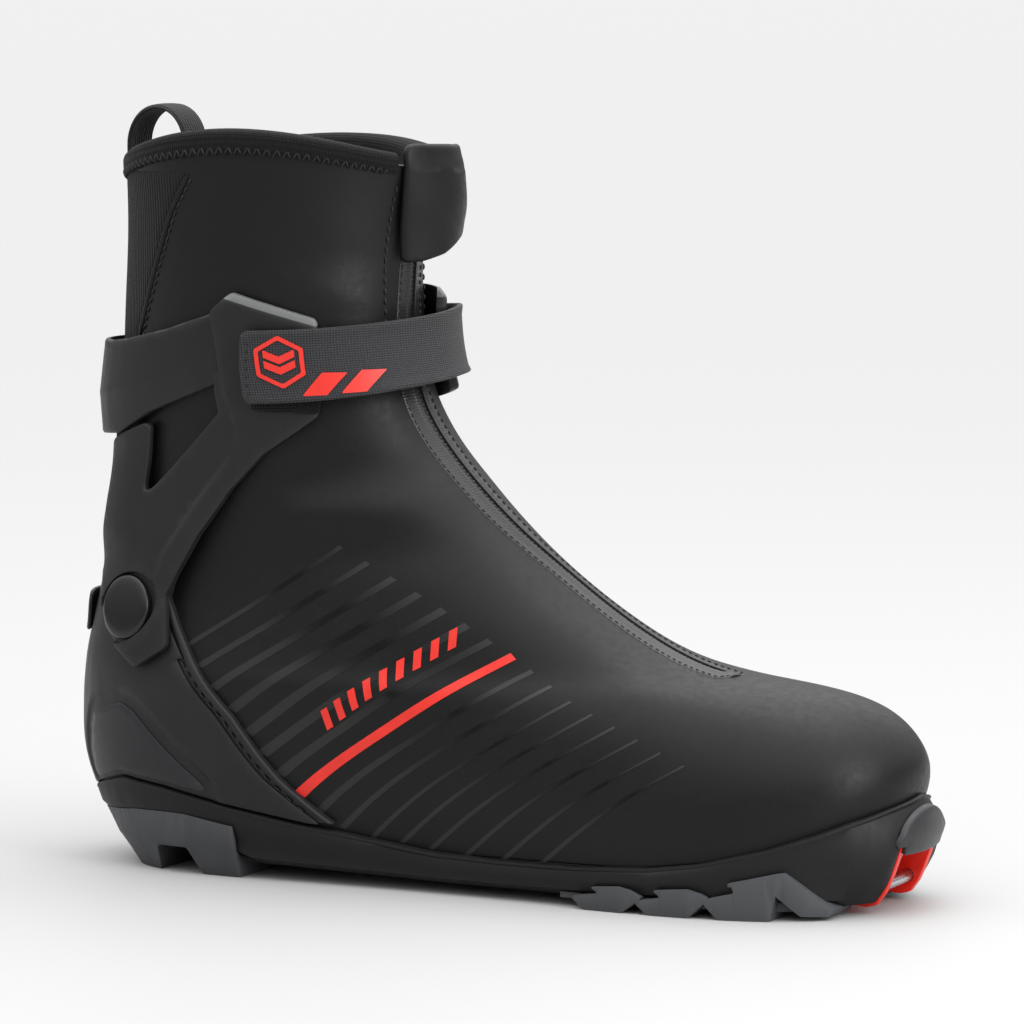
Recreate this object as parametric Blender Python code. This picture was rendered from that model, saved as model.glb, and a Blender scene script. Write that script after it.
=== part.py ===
"""Cross country skate boot, right foot: stiff outsole with a toe bar, soft zipped upper over an
inner boot, heel counter, and a cuff that hinges on two ankle rivets and is closed by a strap.

The boot is described on the surface of its last. A point of the surface has an angle round the
foot (0 at the heel, +180 degrees at the toe on the lateral side, -180 on the medial side) and a
level (0 at the sole, 13 at the collar). Plates that lie on the surface are drawn flat, by arc
length round the boot and height, and given a distance off the surface. Tables are in millimetres.
"""

import math

import bmesh
import bpy
import numpy as np
from mathutils import Matrix, Vector, geometry

MM = 0.001

# Shift from the last's own frame to the boot's, whose origin is the bottom centre of its box
SHIFT = np.array([0.65, 0.1, 0.0])

# ---- the last: back x z, front x z, lateral back/mid/front fullness, medial ditto, side lift
LAST = np.array([
    (-134.0, 12.0, 134.0, 16.0, 62, 37.5, 80, 62, 34.0, 84, -3),
    (-143.5, 33.0, 143.0, 36.0, 66, 40.0, 78, 66, 36.5, 82, -8),
    (-145.0, 48.0, 142.0, 49.0, 68, 40.0, 71, 68, 37.0, 75, -5),
    (-144.8, 55.5, 132.5, 59.5, 67, 39.5, 58, 67, 37.5, 62, -2),
    (-144.2, 61.5, 112.0, 66.0, 65, 39.5, 46, 65, 38.0, 50, 0),
    (-143.0, 69.0, 76.0, 71.5, 61, 39.0, 45, 61, 38.0, 48, 0),
    (-140.5, 79.0, 45.5, 84.5, 56, 38.0, 47, 56, 37.0, 48, 0),
    (-137.5, 91.0, 18.0, 104.0, 50, 36.5, 45, 50, 36.0, 45, 0),
    (-134.5, 107.0, -4.5, 125.5, 46, 35.5, 43, 46, 35.0, 43, 0),
    (-132.5, 128.0, -20.5, 145.0, 43, 36.0, 41, 43, 35.5, 41, 0),
    (-131.5, 150.0, -29.0, 165.0, 42, 38.0, 40, 42, 37.0, 40, 0),
    (-130.5, 178.0, -31.0, 188.0, 42, 40.5, 40, 42, 39.0, 40, 2),
    (-129.0, 204.0, -29.5, 209.0, 43, 42.5, 41, 43, 41.0, 41, 6),
    (-129.0, 226.0, -25.0, 228.0, 46, 44.0, 43, 46, 42.0, 43, 10),
])
COLLAR = len(LAST) - 1.0  # level of the collar's rim

# ---- thicknesses and gaps, mm
GAP = 0.3
UPPER_SKIN = 2.0
LINER_OUT = -4.2
LINER_IN = -7.2
COUNTER_IN, COUNTER_OUT = 0.4, 2.6
CUFF_IN, CUFF_THICK = 4.0, 2.3
SOLE_WALL = 2.8

# ---- the ankle pivot
PIVOT_U, PIVOT_Z = 44.5, 84.8
PIN_RADIUS = 3.5
CAP_RADIUS = 10.8

# ---- the binding recess in the sole's front
RECESS_BACK_X, RECESS_HALF_Y, RECESS_TOP_Z = 117.0, 14.6, 19.0
TOE_BAR_X, TOE_BAR_Z, TOE_BAR_RADIUS = 134.5, 8.0, 2.0
TOE_BAR_HALF = 14.1

# ---- the zip
SLOT_START = 5.0  # level on the instep where the zip ends
SLOT_HALF = 7.0
CHAIN_HALF = 1.2

# Heights along x of the outsole's underside and of its floor inside, which rises over the recess
UNDERSIDE = ((-145, 9.2), (-84, 9.2), (-70, 6.0), (0, 4.6), (60, 4.6), (106, 6.0), (117, 3.4), (150, 3.6))
FLOOR = ((-145, 14.0), (-84, 14.0), (-40, 13.2), (20, 13.0), (66, 13.6), (113, 20.0), (150, 20.0))
# Height of the outsole's top edge against arc length from the heel's back
SOLE_LINE = ((0, 25.2), (17, 25.0), (43, 30.3), (60, 28.2), (80, 24.1), (108, 19.6), (118, 18.6),
             (157, 13.6), (184, 12.8), (212, 13.0), (239, 14.4), (256, 16.8), (275, 22.0), (298, 30.2),
             (312, 33.4), (330, 36.2))


# ---------------------------------------------------------------- the last's surface

def spline_moments(rows):
    """Second derivatives of the natural cubic spline through rows, one knot a row."""
    count = len(rows)
    matrix = np.eye(count)
    target = np.zeros_like(rows)
    for i in range(1, count - 1):
        matrix[i, i - 1:i + 2] = (1, 4, 1)
        target[i] = 6 * (rows[i - 1] - 2 * rows[i] + rows[i + 1])
    return np.linalg.solve(matrix, target)


MOMENTS = spline_moments(LAST)


def last_row(level):
    level = np.clip(np.asarray(level, float), 0, COLLAR)
    i = np.clip(level.astype(int), 0, len(LAST) - 2)
    t = (level - i)[..., None]
    s = 1 - t
    bend = (s ** 3 - s) * MOMENTS[i] + (t ** 3 - t) * MOMENTS[i + 1]
    return s * LAST[i] + t * LAST[i + 1] + bend / 6


def surface(angle, level):
    """Points of the last at angles in radians, positive on the lateral side, and levels."""
    angle, level = np.broadcast_arrays(np.asarray(angle, float), np.asarray(level, float))
    row = last_row(level)
    lateral = angle >= 0
    back = np.where(lateral, row[..., 4], row[..., 7])
    middle = np.where(lateral, row[..., 5], row[..., 8])
    front = np.where(lateral, row[..., 6], row[..., 9])
    even = (back + front) / 2
    cos, sin = np.cos(angle), np.sin(angle)
    width = (even + middle) / 2 + (back - front) / 2 * cos + (even - middle) / 2 * np.cos(2 * angle)
    along = (1 - cos) / 2
    x = row[..., 0] + (row[..., 2] - row[..., 0]) * along
    z = row[..., 1] + (row[..., 3] - row[..., 1]) * along + row[..., 10] * sin ** 2
    return np.stack([x, -sin * width, z], -1)


def surface_normal(angle, level):
    step = 1e-3
    level = np.asarray(level, float)
    round_it = surface(angle + step, level) - surface(angle - step, level)
    up = surface(angle, np.minimum(level + step, COLLAR)) - surface(angle, np.maximum(level - step, 0))
    normal = np.cross(round_it, up)
    return normal / np.linalg.norm(normal, axis=-1, keepdims=True)


def off_last(angle, level, off):
    return surface(angle, level) + surface_normal(angle, level) * np.asarray(off, float)[..., None]


# Slices of the last at even heights: angle to arc length, point and normal, for each side
SLICE_Z = np.arange(4.0, 244.0, 2.0)
SLICE_ANGLES = np.linspace(0, math.pi, 73)


def slice_table(side):
    levels = np.linspace(0, COLLAR, 400)
    at_level = np.array([
        np.interp(SLICE_Z, surface(side * angle, levels)[:, 2], levels) for angle in SLICE_ANGLES
    ]).T
    points = surface(side * SLICE_ANGLES, at_level)
    normals = surface_normal(side * SLICE_ANGLES, at_level)
    steps = np.linalg.norm(np.diff(points[..., :2], axis=1), axis=-1)
    arcs = np.concatenate([np.zeros((len(SLICE_Z), 1)), np.cumsum(steps, axis=1)], axis=1)
    return arcs, np.concatenate([points, normals], -1)


SLICES = {1: slice_table(1), -1: slice_table(-1)}


def around(side, z):
    """Arc length from the heel's back to the front, at height z."""
    return float(np.interp(z, SLICE_Z, SLICES[side][0][:, -1]))


def arc_of(angle, z):
    """Arc length from the heel's back to an angle, signed like it, at height z."""
    side = 1 if angle >= 0 else -1
    arcs = [np.interp(abs(angle), SLICE_ANGLES, row) for row in SLICES[side][0]]
    return side * float(np.interp(z, SLICE_Z, arcs))


def on_skin(u, z, off):
    """The point off the surface at signed arc length u from the heel's back and height z."""
    side = 1 if u >= 0 else -1
    arcs, rows = SLICES[side]
    place = min(max((z - SLICE_Z[0]) / (SLICE_Z[1] - SLICE_Z[0]), 0), len(SLICE_Z) - 1.001)
    low = int(place)
    share = place - low
    both = [
        np.array([np.interp(abs(u), arcs[i], rows[i][:, k]) for k in range(6)]) for i in (low, low + 1)
    ]
    row = both[0] * (1 - share) + both[1] * share
    normal = row[3:] / np.linalg.norm(row[3:])
    return np.array([row[0], row[1], z]) + normal * off


def on_front(w, z, off):
    """As on_skin, with the arc length counted from the front line instead, lateral positive."""
    side = 1 if w >= 0 else -1
    return on_skin(side * (around(side, z) - abs(w)), z, off)


def smooth_step(value, low, high):
    t = np.clip((value - low) / (high - low), 0, 1)
    return t * t * (3 - 2 * t)


def table(pairs, value):
    return np.interp(value, [pair[0] for pair in pairs], [pair[1] for pair in pairs])


# ---------------------------------------------------------------- materials and objects

COLOURS = {
    "coated_fabric": ((0.016, 0.016, 0.018), 0.55, 0.0),
    "knit": ((0.010, 0.010, 0.011), 0.90, 0.0),
    "lining": ((0.022, 0.022, 0.024), 0.85, 0.0),
    "shell_plastic": ((0.022, 0.023, 0.025), 0.45, 0.0),
    "gloss_plastic": ((0.040, 0.041, 0.045), 0.30, 0.0),
    "sole_rubber": ((0.018, 0.018, 0.020), 0.60, 0.0),
    "tread": ((0.085, 0.087, 0.093), 0.55, 0.0),
    "red_plastic": ((0.78, 0.035, 0.020), 0.40, 0.0),
    "steel": ((0.62, 0.62, 0.64), 0.25, 1.0),
    "webbing": ((0.060, 0.061, 0.066), 0.80, 0.0),
    "board": ((0.30, 0.28, 0.24), 0.85, 0.0),
    "composite": ((0.05, 0.05, 0.055), 0.40, 0.0),
    "lace": ((0.12, 0.12, 0.125), 0.80, 0.0),
}


def make_material(name):
    colour, roughness, metallic = COLOURS[name]
    material = bpy.data.materials.new(name)
    material.use_nodes = True
    shader = material.node_tree.nodes["Principled BSDF"]
    shader.inputs["Base Color"].default_value = (*colour, 1.0)
    shader.inputs["Roughness"].default_value = roughness
    shader.inputs["Metallic"].default_value = metallic
    material.diffuse_color = (*colour, 1.0)
    return material


def clear_scene():
    for thing in list(bpy.data.objects):
        bpy.data.objects.remove(thing, do_unlink=True)


def add_object(name, points, faces, material, centre=(0, 0, 0)):
    """A mesh object from points in mm of the last's frame, with its origin at centre."""
    origin = (np.asarray(centre, float) + SHIFT) * MM
    mesh = bpy.data.meshes.new(name)
    placed = (np.asarray(points, float) + SHIFT) * MM - origin
    mesh.from_pydata(placed.tolist(), [], [list(face) for face in faces])
    mesh.materials.append(bpy.data.materials[material])
    mesh.validate()
    mesh.shade_smooth()
    mesh.set_sharp_from_angle(angle=math.radians(40))
    thing = bpy.data.objects.new(name, mesh)
    thing.location = Vector(origin)
    bpy.context.scene.collection.objects.link(thing)
    return thing


def as_cutter(thing):
    thing.hide_render = True
    thing.display_type = "WIRE"
    return thing


def boolean(thing, other, operation="DIFFERENCE"):
    modifier = thing.modifiers.new(f"{operation.lower()} {other.name}", "BOOLEAN")
    modifier.operation = operation
    modifier.object = other
    modifier.solver = "EXACT"
    as_cutter(other)


def thick(name, outer, inner, faces, material):
    """One closed body between two matching sheets of points; faces point out on the outer one."""
    count = len(outer)
    directed = {(face[i], face[(i + 1) % len(face)]) for face in faces for i in range(len(face))}
    walls = [(b, a, a + count, b + count) for a, b in directed if (b, a) not in directed]
    back = [tuple(i + count for i in reversed(face)) for face in faces]
    used = sorted({i for face in faces for i in face})
    new = {old: k for k, old in enumerate(used + [i + count for i in used])}
    points = np.concatenate([np.asarray(outer)[used], np.asarray(inner)[used]])
    every = [tuple(new[i] for i in face) for face in [*faces, *back, *sorted(walls)]]
    return add_object(name, points, every, material)


# ---------------------------------------------------------------- plates drawn flat

def rounded(outline, radius, arc_points=3):
    """The outline with each corner replaced by an arc, smaller where the sides are short."""
    result = []
    count = len(outline)
    for i in range(count):
        before, here, after = (np.array(outline[(i + k) % count], float) for k in (-1, 0, 1))
        to_before, to_after = before - here, after - here
        reach_before, reach_after = np.linalg.norm(to_before), np.linalg.norm(to_after)
        to_before, to_after = to_before / reach_before, to_after / reach_after
        half = math.acos(float(np.clip(to_before @ to_after, -1, 1))) / 2
        cut = min(radius / math.tan(half), 0.45 * reach_before, 0.45 * reach_after)
        if cut < 0.3:
            result.append(here)
            continue
        start, end = here + to_before * cut, here + to_after * cut
        for k in range(arc_points + 1):
            t = k / arc_points
            result.append((1 - t) ** 2 * start + 2 * t * (1 - t) * here + t * t * end)
    return result


def resampled(outline, step):
    points = []
    for i, here in enumerate(outline):
        after = outline[(i + 1) % len(outline)]
        parts = max(1, round(float(np.linalg.norm(np.array(after) - here)) / step))
        points += [np.array(here) + (np.array(after) - here) * k / parts for k in range(parts)]
    return points


def inside(point, outline):
    crossings = 0
    x, y = point
    for i, (x0, y0) in enumerate(outline):
        x1, y1 = outline[(i + 1) % len(outline)]
        if (y0 > y) != (y1 > y) and x < x0 + (y - y0) * (x1 - x0) / (y1 - y0):
            crossings += 1
    return crossings % 2 == 1


def distance_to(point, outline):
    best = 1e9
    for i, start in enumerate(outline):
        side = outline[(i + 1) % len(outline)] - start
        share = np.clip((point - start) @ side / max(side @ side, 1e-9), 0, 1)
        best = min(best, float(np.linalg.norm(point - start - side * share)))
    return best


def fill(outline, holes, step):
    """Triangles over the outline less the holes: (points, faces), with a grid of points inside."""
    loops = [resampled(loop, step) for loop in (outline, *holes)]
    points, edges = [], []
    for loop in loops:
        first = len(points)
        points += loop
        edges += [(first + k, first + (k + 1) % len(loop)) for k in range(len(loop))]
    low, high = np.min(loops[0], axis=0), np.max(loops[0], axis=0)
    for x in np.arange(low[0] + step / 2, high[0], step):
        for y in np.arange(low[1] + step / 2, high[1], step):
            spot = np.array([x, y])
            if not inside(spot, loops[0]) or any(inside(spot, loop) for loop in loops[1:]):
                continue
            if min(distance_to(spot, loop) for loop in loops) > 0.45 * step:
                points.append(spot)
    found = geometry.delaunay_2d_cdt([Vector(p) for p in points], edges, [], 0, 1e-6)
    flat = [np.array(v) for v in found[0]]
    faces = []
    for face in found[2]:
        middle = sum(flat[i] for i in face) / 3
        if inside(middle, loops[0]) and not any(inside(middle, loop) for loop in loops[1:]):
            a, b, c = (flat[i] for i in face)
            turn = (b[0] - a[0]) * (c[1] - a[1]) - (b[1] - a[1]) * (c[0] - a[0])
            faces.append(tuple(face) if turn > 0 else tuple(reversed(face)))
    return flat, faces


def plate(name, outline, off_in, off_out, material, step=7.0, radius=1.0, holes=(), place=on_skin):
    """A plate on the last's surface. off_in and off_out are distances or functions of (u, z)."""
    flat, faces = fill(rounded(outline, radius) if radius else list(map(np.array, outline)), holes, step)
    off_in, off_out = (f if callable(f) else (lambda u, z, f=f: f) for f in (off_in, off_out))
    outer = [place(u, z, off_out(u, z)) for u, z in flat]
    inner = [place(u, z, off_in(u, z)) for u, z in flat]
    return thick(name, outer, inner, faces, material)


def mirrored(outline):
    return [(-u, z) for u, z in reversed(outline)]


def circle(u, z, radius, count=16):
    return [np.array([u + radius * math.cos(t), z + radius * math.sin(t)])
            for t in np.arange(count) * 2 * math.pi / count]


def grid_sheet(name, angles, levels, off_in, off_out, material):
    """A sheet over a grid of the last. angles is a function of level that gives one row of angles."""
    rows = [angles(level) for level in levels]
    width = len(rows[0])
    across = np.array(rows)
    up = np.repeat(np.array(levels)[:, None], width, axis=1)
    outer = off_last(across, up, np.full(across.shape, off_out)).reshape(-1, 3)
    inner = off_last(across, up, np.full(across.shape, off_in)).reshape(-1, 3)
    return thick(name, outer, inner, grid_faces(len(levels), width), material)


def grid_faces(rows, width, closed=False):
    faces = []
    for i in range(rows - 1):
        for j in range(width if closed else width - 1):
            k = (j + 1) % width
            faces.append((i * width + j, i * width + k, (i + 1) * width + k, (i + 1) * width + j))
    return faces


# ---------------------------------------------------------------- closed rings round the foot

RING = 44  # points round a ring, even, the first at the heel's back


def ring_angles():
    half = [math.pi * (k / (RING // 2)) for k in range(RING // 2 + 1)]
    return np.array(half + [-angle for angle in reversed(half[1:-1])])


def ladder(first, upward):
    """Faces that close a ring of RING points from index first, straight across from side to side."""
    faces = [(first, first + 1, first + RING - 1)]
    for k in range(1, RING // 2 - 1):
        faces.append((first + k, first + k + 1, first + RING - k - 1, first + RING - k))
    last = RING // 2
    faces.append((first + last - 1, first + last, first + last + 1))
    return faces if upward else [tuple(reversed(face)) for face in faces]


def stack(name, rings, material):
    """A closed body through rings of points from the bottom up, closed across both ends."""
    points = np.concatenate(rings)
    faces = ladder(0, upward=False) + ladder((len(rings) - 1) * RING, upward=True)
    faces += grid_faces(len(rings), RING, closed=True)
    return add_object(name, points, faces, material)


def sole_ring(off, height, taper=0.0):
    """A level ring under the foot: the last's sole outline moved out by off, at a height of x."""
    angles = ring_angles()
    ring = off_flat(angles, off)
    if taper:
        backward = np.clip(-flat_normal(angles)[:, 0], 0, 1) ** 2
        ring -= flat_normal(angles) * (taper * backward)[:, None]
    ring[:, 2] = [height(x) for x in ring[:, 0]]
    return ring


def flat_normal(angles):
    normal = surface_normal(angles, np.full(len(angles), 0.3))
    normal[:, 2] = 0
    return normal / np.linalg.norm(normal, axis=1, keepdims=True)


def off_flat(angles, off):
    return surface(angles, np.full(len(angles), 0.25)) + flat_normal(angles) * off


def sole_line(angle):
    """Height of the outsole's top edge at an angle."""
    half = abs(angle)
    u = float(np.interp(half, SLICE_ANGLES, SLICES[1][0][int((20 - SLICE_Z[0]) / 2)]))
    return float(table(SOLE_LINE, u * 330.0 / around(1, 20.0)))


def level_at(angle, z):
    levels = np.linspace(0, 4, 80)
    return float(np.interp(z, surface(angle, levels)[:, 2], levels))


def underside(x):
    return float(table(UNDERSIDE, x))


def sole_rings(grow=0.0):
    """Outer rings of the outsole, from its underside to its top edge."""
    angles = ring_angles()
    tops = [sole_line(angle) for angle in angles]
    levels = np.array([level_at(angle, z) for angle, z in zip(angles, tops)])
    rim = off_last(angles, levels, np.full(RING, SOLE_WALL + grow))
    foot = sole_ring(-3.5 + grow, lambda x: underside(x) - grow, taper=8.0)
    low = sole_ring(1.4 + grow, lambda x: underside(x) + 3.0 - grow * 0.5, taper=5.0)
    middle = [wall_point(angle, low[k, 2], tops[k], grow) for k, angle in enumerate(angles)]
    return [foot, low, np.array(middle), rim], levels


def wall_point(angle, low, top, grow):
    """The outsole's wall where it is fullest, a little over half way up."""
    z = low + (top - low) * 0.55
    out = flat_normal(np.array([angle]))[0]
    point = surface(np.array(angle), np.array(level_at(angle, z))) + out * (SOLE_WALL + 0.6 + grow)
    point[2] = z
    return point


def box(name, low, high, material="sole_rubber"):
    corners = [(x, y, z) for x in (low[0], high[0]) for y in (low[1], high[1]) for z in (low[2], high[2])]
    faces = [(0, 1, 3, 2), (4, 6, 7, 5), (0, 4, 5, 1), (2, 3, 7, 6), (0, 2, 6, 4), (1, 5, 7, 3)]
    return add_object(name, corners, faces, material)


def prism(name, outline, y_low, y_high, material):
    """A side view outline of (x, z) pushed through from y_low to y_high."""
    count = len(outline)
    points = [(x, y_low, z) for x, z in outline] + [(x, y_high, z) for x, z in outline]
    faces = [tuple(range(count)), tuple(range(2 * count - 1, count - 1, -1))]
    faces += [(k, k + count, (k + 1) % count + count, (k + 1) % count) for k in range(count)]
    thing = add_object(name, points, faces, material)
    fix_normals(thing)
    return thing


def fix_normals(thing):
    mesh = bmesh.new()
    mesh.from_mesh(thing.data)
    bmesh.ops.recalc_face_normals(mesh, faces=mesh.faces)
    mesh.to_mesh(thing.data)
    mesh.free()


def rod(name, start, end, radius, material, sides=20):
    """A round rod between two points, shaded smooth."""
    start, end = Vector(start), Vector(end)
    mesh = bmesh.new()
    bmesh.ops.create_cone(mesh, cap_ends=True, segments=sides, radius1=radius, radius2=radius,
                          depth=(end - start).length)
    turn = (end - start).to_track_quat("Z", "Y").to_matrix().to_4x4()
    bmesh.ops.transform(mesh, matrix=Matrix.Translation((start + end) / 2) @ turn, verts=mesh.verts)
    points = [tuple(vert.co) for vert in mesh.verts]
    faces = [tuple(vert.index for vert in face.verts) for face in mesh.faces]
    mesh.free()
    return add_object(name, points, faces, material)


# ---------------------------------------------------------------- sole unit

def make_outsole():
    rings, levels = sole_rings()
    angles = ring_angles()
    low = np.array([foot_level(angle) for angle in angles])
    inner = [off_last(angles, low + (levels - low) * share, np.full(RING, wall))
             for share, wall in ((1.0, GAP), (0.66, 0.7), (0.33, 0.8), (0.0, 0.5))]
    outsole = stack("outsole", [*rings, *inner], "sole_rubber")
    recess = box("recess_cutter", (RECESS_BACK_X, -RECESS_HALF_Y, -5), (170, RECESS_HALF_Y, RECESS_TOP_Z))
    boolean(outsole, recess)
    for side in (-1, 1):
        middle = side * 11.5
        groove = box(f"guide_groove_cutter_{side}", (-60, middle - 3, -5), (RECESS_BACK_X + 3, middle + 3, 6.2))
        boolean(outsole, groove)


def floor_height(x):
    return float(table(FLOOR, x))


def foot_level(angle):
    """Level of the last where it meets the outsole's floor."""
    levels = np.linspace(0, 2, 80)
    points = surface(angle, levels)
    return float(np.interp(0, points[:, 2] - table(FLOOR, points[:, 0]), levels))


def inner_ring(inset, rise):
    """A ring inset from the last's outline, rise mm above the outsole's floor."""
    angles = ring_angles()
    ring = surface(angles, np.full(RING, 0.15)) - flat_normal(angles) * inset
    ring[:, 2] = table(FLOOR, ring[:, 0]) + rise
    return ring


def make_sole_layer(name, inset, rise, thickness, material):
    """One of the flat layers that lie on the outsole's floor."""
    stack(name, [inner_ring(inset, rise), inner_ring(inset, rise + thickness)], material)


def make_toe_unit():
    insert_side = ((119.4, 3.4), (134.5, 3.2), (136.0, 5.0), (143.2, 18.5), (119.4, 18.5))
    insert = prism("binding_insert", insert_side, -14.2, 14.2, "red_plastic")
    boolean(insert, box("insert_cutter", (121.6, -11.6, -4), (160, 11.6, 16.2)))
    boolean(insert, rod("bar_hole_cutter", (TOE_BAR_X, -20, TOE_BAR_Z), (TOE_BAR_X, 20, TOE_BAR_Z),
                        TOE_BAR_RADIUS + 0.15, "steel"))
    rod("toe_bar", (TOE_BAR_X, -TOE_BAR_HALF, TOE_BAR_Z), (TOE_BAR_X, TOE_BAR_HALF, TOE_BAR_Z), TOE_BAR_RADIUS,
        "steel")


def make_toe_guard():
    """The grey arch on the nose, over the recess."""
    outline = [(15.0, 22.2)]
    outline += [(15.0 * math.cos(t), 23.2 + 7.8 * math.sin(t)) for t in np.linspace(0.1, math.pi - 0.1, 9)]
    outline += [(-15.0, 22.2)]
    outline = [(-w, z) for w, z in outline]
    flat, faces = fill([np.array(point) for point in reversed(outline)], (), 6.0)
    outer = [on_front(-w, z, 5.4) for w, z in flat]
    inner = [on_front(-w, z, 4.3) for w, z in flat]
    thick("toe_guard", outer, inner, faces, "tread")


def outsole_cutter(name):
    rings, _ = sole_rings(grow=GAP + 0.3)
    return as_cutter(stack(name, rings, "sole_rubber"))


# Forefoot lugs: side view outlines, from the front one backwards
LUGS = (
    ((119.5, 1.6), (127.0, 1.2), (128.0, 3.4), (115.2, 15.2), (112.8, 14.9), (98.5, 11.6), (98.5, 10.4),
     (108.4, 11.6), (111.6, 9.0)),
    ((95.2, 0.0), (111.0, 0.0), (113.1, 10.1), (110.5, 11.9), (99.1, 11.4), (100.6, 8.6), (93.0, 6.8),
     (90.2, 5.4)),
    ((72.0, 0.0), (85.5, 0.0), (92.5, 6.3), (89.7, 7.8), (85.4, 9.0), (73.6, 8.0), (77.0, 5.8), (67.0, 4.2)),
    ((50.0, 0.0), (63.0, 0.0), (70.5, 5.4), (66.0, 7.4), (62.0, 8.2), (52.0, 7.4), (55.5, 5.6), (45.0, 4.0)),
    ((29.0, 0.8), (40.0, 0.4), (45.5, 4.4), (41.0, 6.6), (29.0, 6.4), (24.5, 4.2)),
)


def make_forefoot_tread(side, name):
    """Grey lugs of one side on a common web, wrapped up round the edge of the outsole."""
    web_low, web_high = 2.6, 4.2
    angles = np.radians(np.linspace(96, 152, 10)) * side
    edge = off_flat(angles, 0.0)
    inner = [(x, -side * 16.5) for x in edge[:, 0]]
    points = [(x, y, web_low) for x, y, _ in edge] + [(x, y, web_low) for x, y in reversed(inner)]
    points += [(x, y, web_high + 2.0) for x, y, _ in edge] + [(x, y, web_high + 2.0) for x, y in reversed(inner)]
    half = len(points) // 2
    faces = [tuple(range(half)), tuple(range(2 * half - 1, half - 1, -1))]
    faces += [(k, k + half, (k + 1) % half + half, (k + 1) % half) for k in range(half)]
    web = add_object(name, points, faces, "tread")
    fix_normals(web)
    for number, outline in enumerate(LUGS):
        lug = prism(f"{name}_lug_{number}", outline, *sorted((-side * 16.5, -side * 60)), "tread")
        boolean(web, lug, "UNION")
    wide = sole_ring(3.6, lambda x: -4.0)
    tall = sole_ring(4.4, lambda x: 20.0)
    limit = stack(f"{name}_limit", [wide, tall], "tread")
    boolean(web, limit, "INTERSECT")
    boolean(web, outsole_cutter(f"{name}_sole_cutter"))


def make_heel_tread():
    """Grey heel block: a sloped cup round the outsole's heel, on two pairs of lugs."""
    foot = sole_ring(-0.5, lambda x: 0.0, taper=14.0)
    low = sole_ring(3.6, lambda x: 10.0, taper=7.0)
    top = sole_ring(4.6, lambda x: float(table(((-140, 20.0), (-118, 23.6), (-75, 17.0)), x)))
    heel = stack("heel_tread", [foot, low, top], "tread")
    boolean(heel, outsole_cutter("heel_sole_cutter"))
    boolean(heel, box("heel_front_cutter", (-75.5, -80, -10), (200, 80, 60)))
    notch = ((-107.5, -3), (-88.0, -3), (-94.0, 8.8), (-106.0, 8.8))
    boolean(heel, prism("heel_notch_cutter", notch, -80, 80, "tread"))
    boolean(heel, box("heel_groove_cutter", (-140, -6, -5), (-70, 6, 6.5)))


# ---------------------------------------------------------------- upper, foot part

def vamp_top(angle):
    return 7.5 + 0.4 * math.cos(angle)


def shaft_foot(angle):
    return 8.42 - 0.27 * math.cos(angle)


def slot_angle(level, half_width):
    """Angle of the zip slot's edge, half_width mm from the front line."""
    row = last_row(level)
    return math.pi - math.asin(half_width / float(row[6] + row[9]) * 2)


# Levels of the vamp's rows below the zip; the first is its share of the way up from the floor
VAMP_LEVELS = (0.0, 0.5, 1.0, 1.6, 2.2, 2.9, 3.6, 4.3, SLOT_START)


def vamp_level(angle, level):
    """The level raised so that 0 is the vamp's bottom edge, just clear of the outsole's floor."""
    bottom = foot_level(angle) + 0.02
    return level if level >= 1.6 else bottom + (1.6 - bottom) * level / 1.6


def make_vamp():
    shares = np.linspace(-1, 1, RING + 1)
    places = [(share * math.pi, vamp_level(share * math.pi, level)) for level in VAMP_LEVELS for share in shares]
    for rise in np.linspace(0.25, 1.0, 4):
        for share in shares:
            level = SLOT_START + rise * (vamp_top(share * math.pi) - SLOT_START)
            places.append((share * slot_angle(level, SLOT_HALF), level))
    angles, levels = np.array(places).T
    outer, inner = (off_last(angles, levels, np.full(len(levels), off)) for off in (0.0, -UPPER_SKIN))
    # Below the zip's slot, the two ends of a row meet at the toe
    count = len(shares)
    seam = {i * count + count - 1: i * count for i in range(len(VAMP_LEVELS))}
    faces = [tuple(seam.get(k, k) for k in face) for face in grid_faces(len(places) // count, count)]
    thick("upper_vamp", outer, inner, faces, "coated_fabric")


def make_flex_zone():
    """The stretch fabric that fills the wedge between the foot part and the shaft."""
    outer, inner = [], []
    for share_up in (0.0, 0.33, 0.67, 1.0):
        for share in np.linspace(-1, 1, RING + 1):
            low, high = vamp_top(share * math.pi) + 0.03, shaft_foot(share * math.pi) - 0.07
            level = low + (high - low) * share_up
            angle = np.array(share * slot_angle(level, SLOT_HALF + 0.6))
            outer.append(off_last(angle, np.array(level), -0.2))
            inner.append(off_last(angle, np.array(level), -1.6))
    thick("flex_zone", outer, inner, grid_faces(4, RING + 1), "knit")


def make_inner_boot_foot():
    """The padded sock's foot: a cup with a floor, open where the shaft's sock carries on."""
    angles = ring_angles()
    outer_rings, inner_rings = [], []
    for share in (0.0, 0.08, 0.18, 0.3, 0.43, 0.58, 0.72, 0.86, 1.0):
        levels = np.array([1.0 + share * (vamp_top(angle) - 1.0) for angle in angles])
        instep = smooth_step(np.abs(angles), 2.0, 2.6) * smooth_step(levels, 4.4, 5.4) * 3.2
        outer_rings.append(off_last(angles, levels, LINER_OUT - instep))
        inner_rings.append(off_last(angles, levels, LINER_IN - instep))
    floor_out = inner_ring(8.0, 3.4)
    floor_in = inner_ring(11.0, 5.6)
    rings = [floor_out, *outer_rings, *reversed(inner_rings), floor_in]
    stack("inner_boot_foot", rings, "lining")


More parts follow.
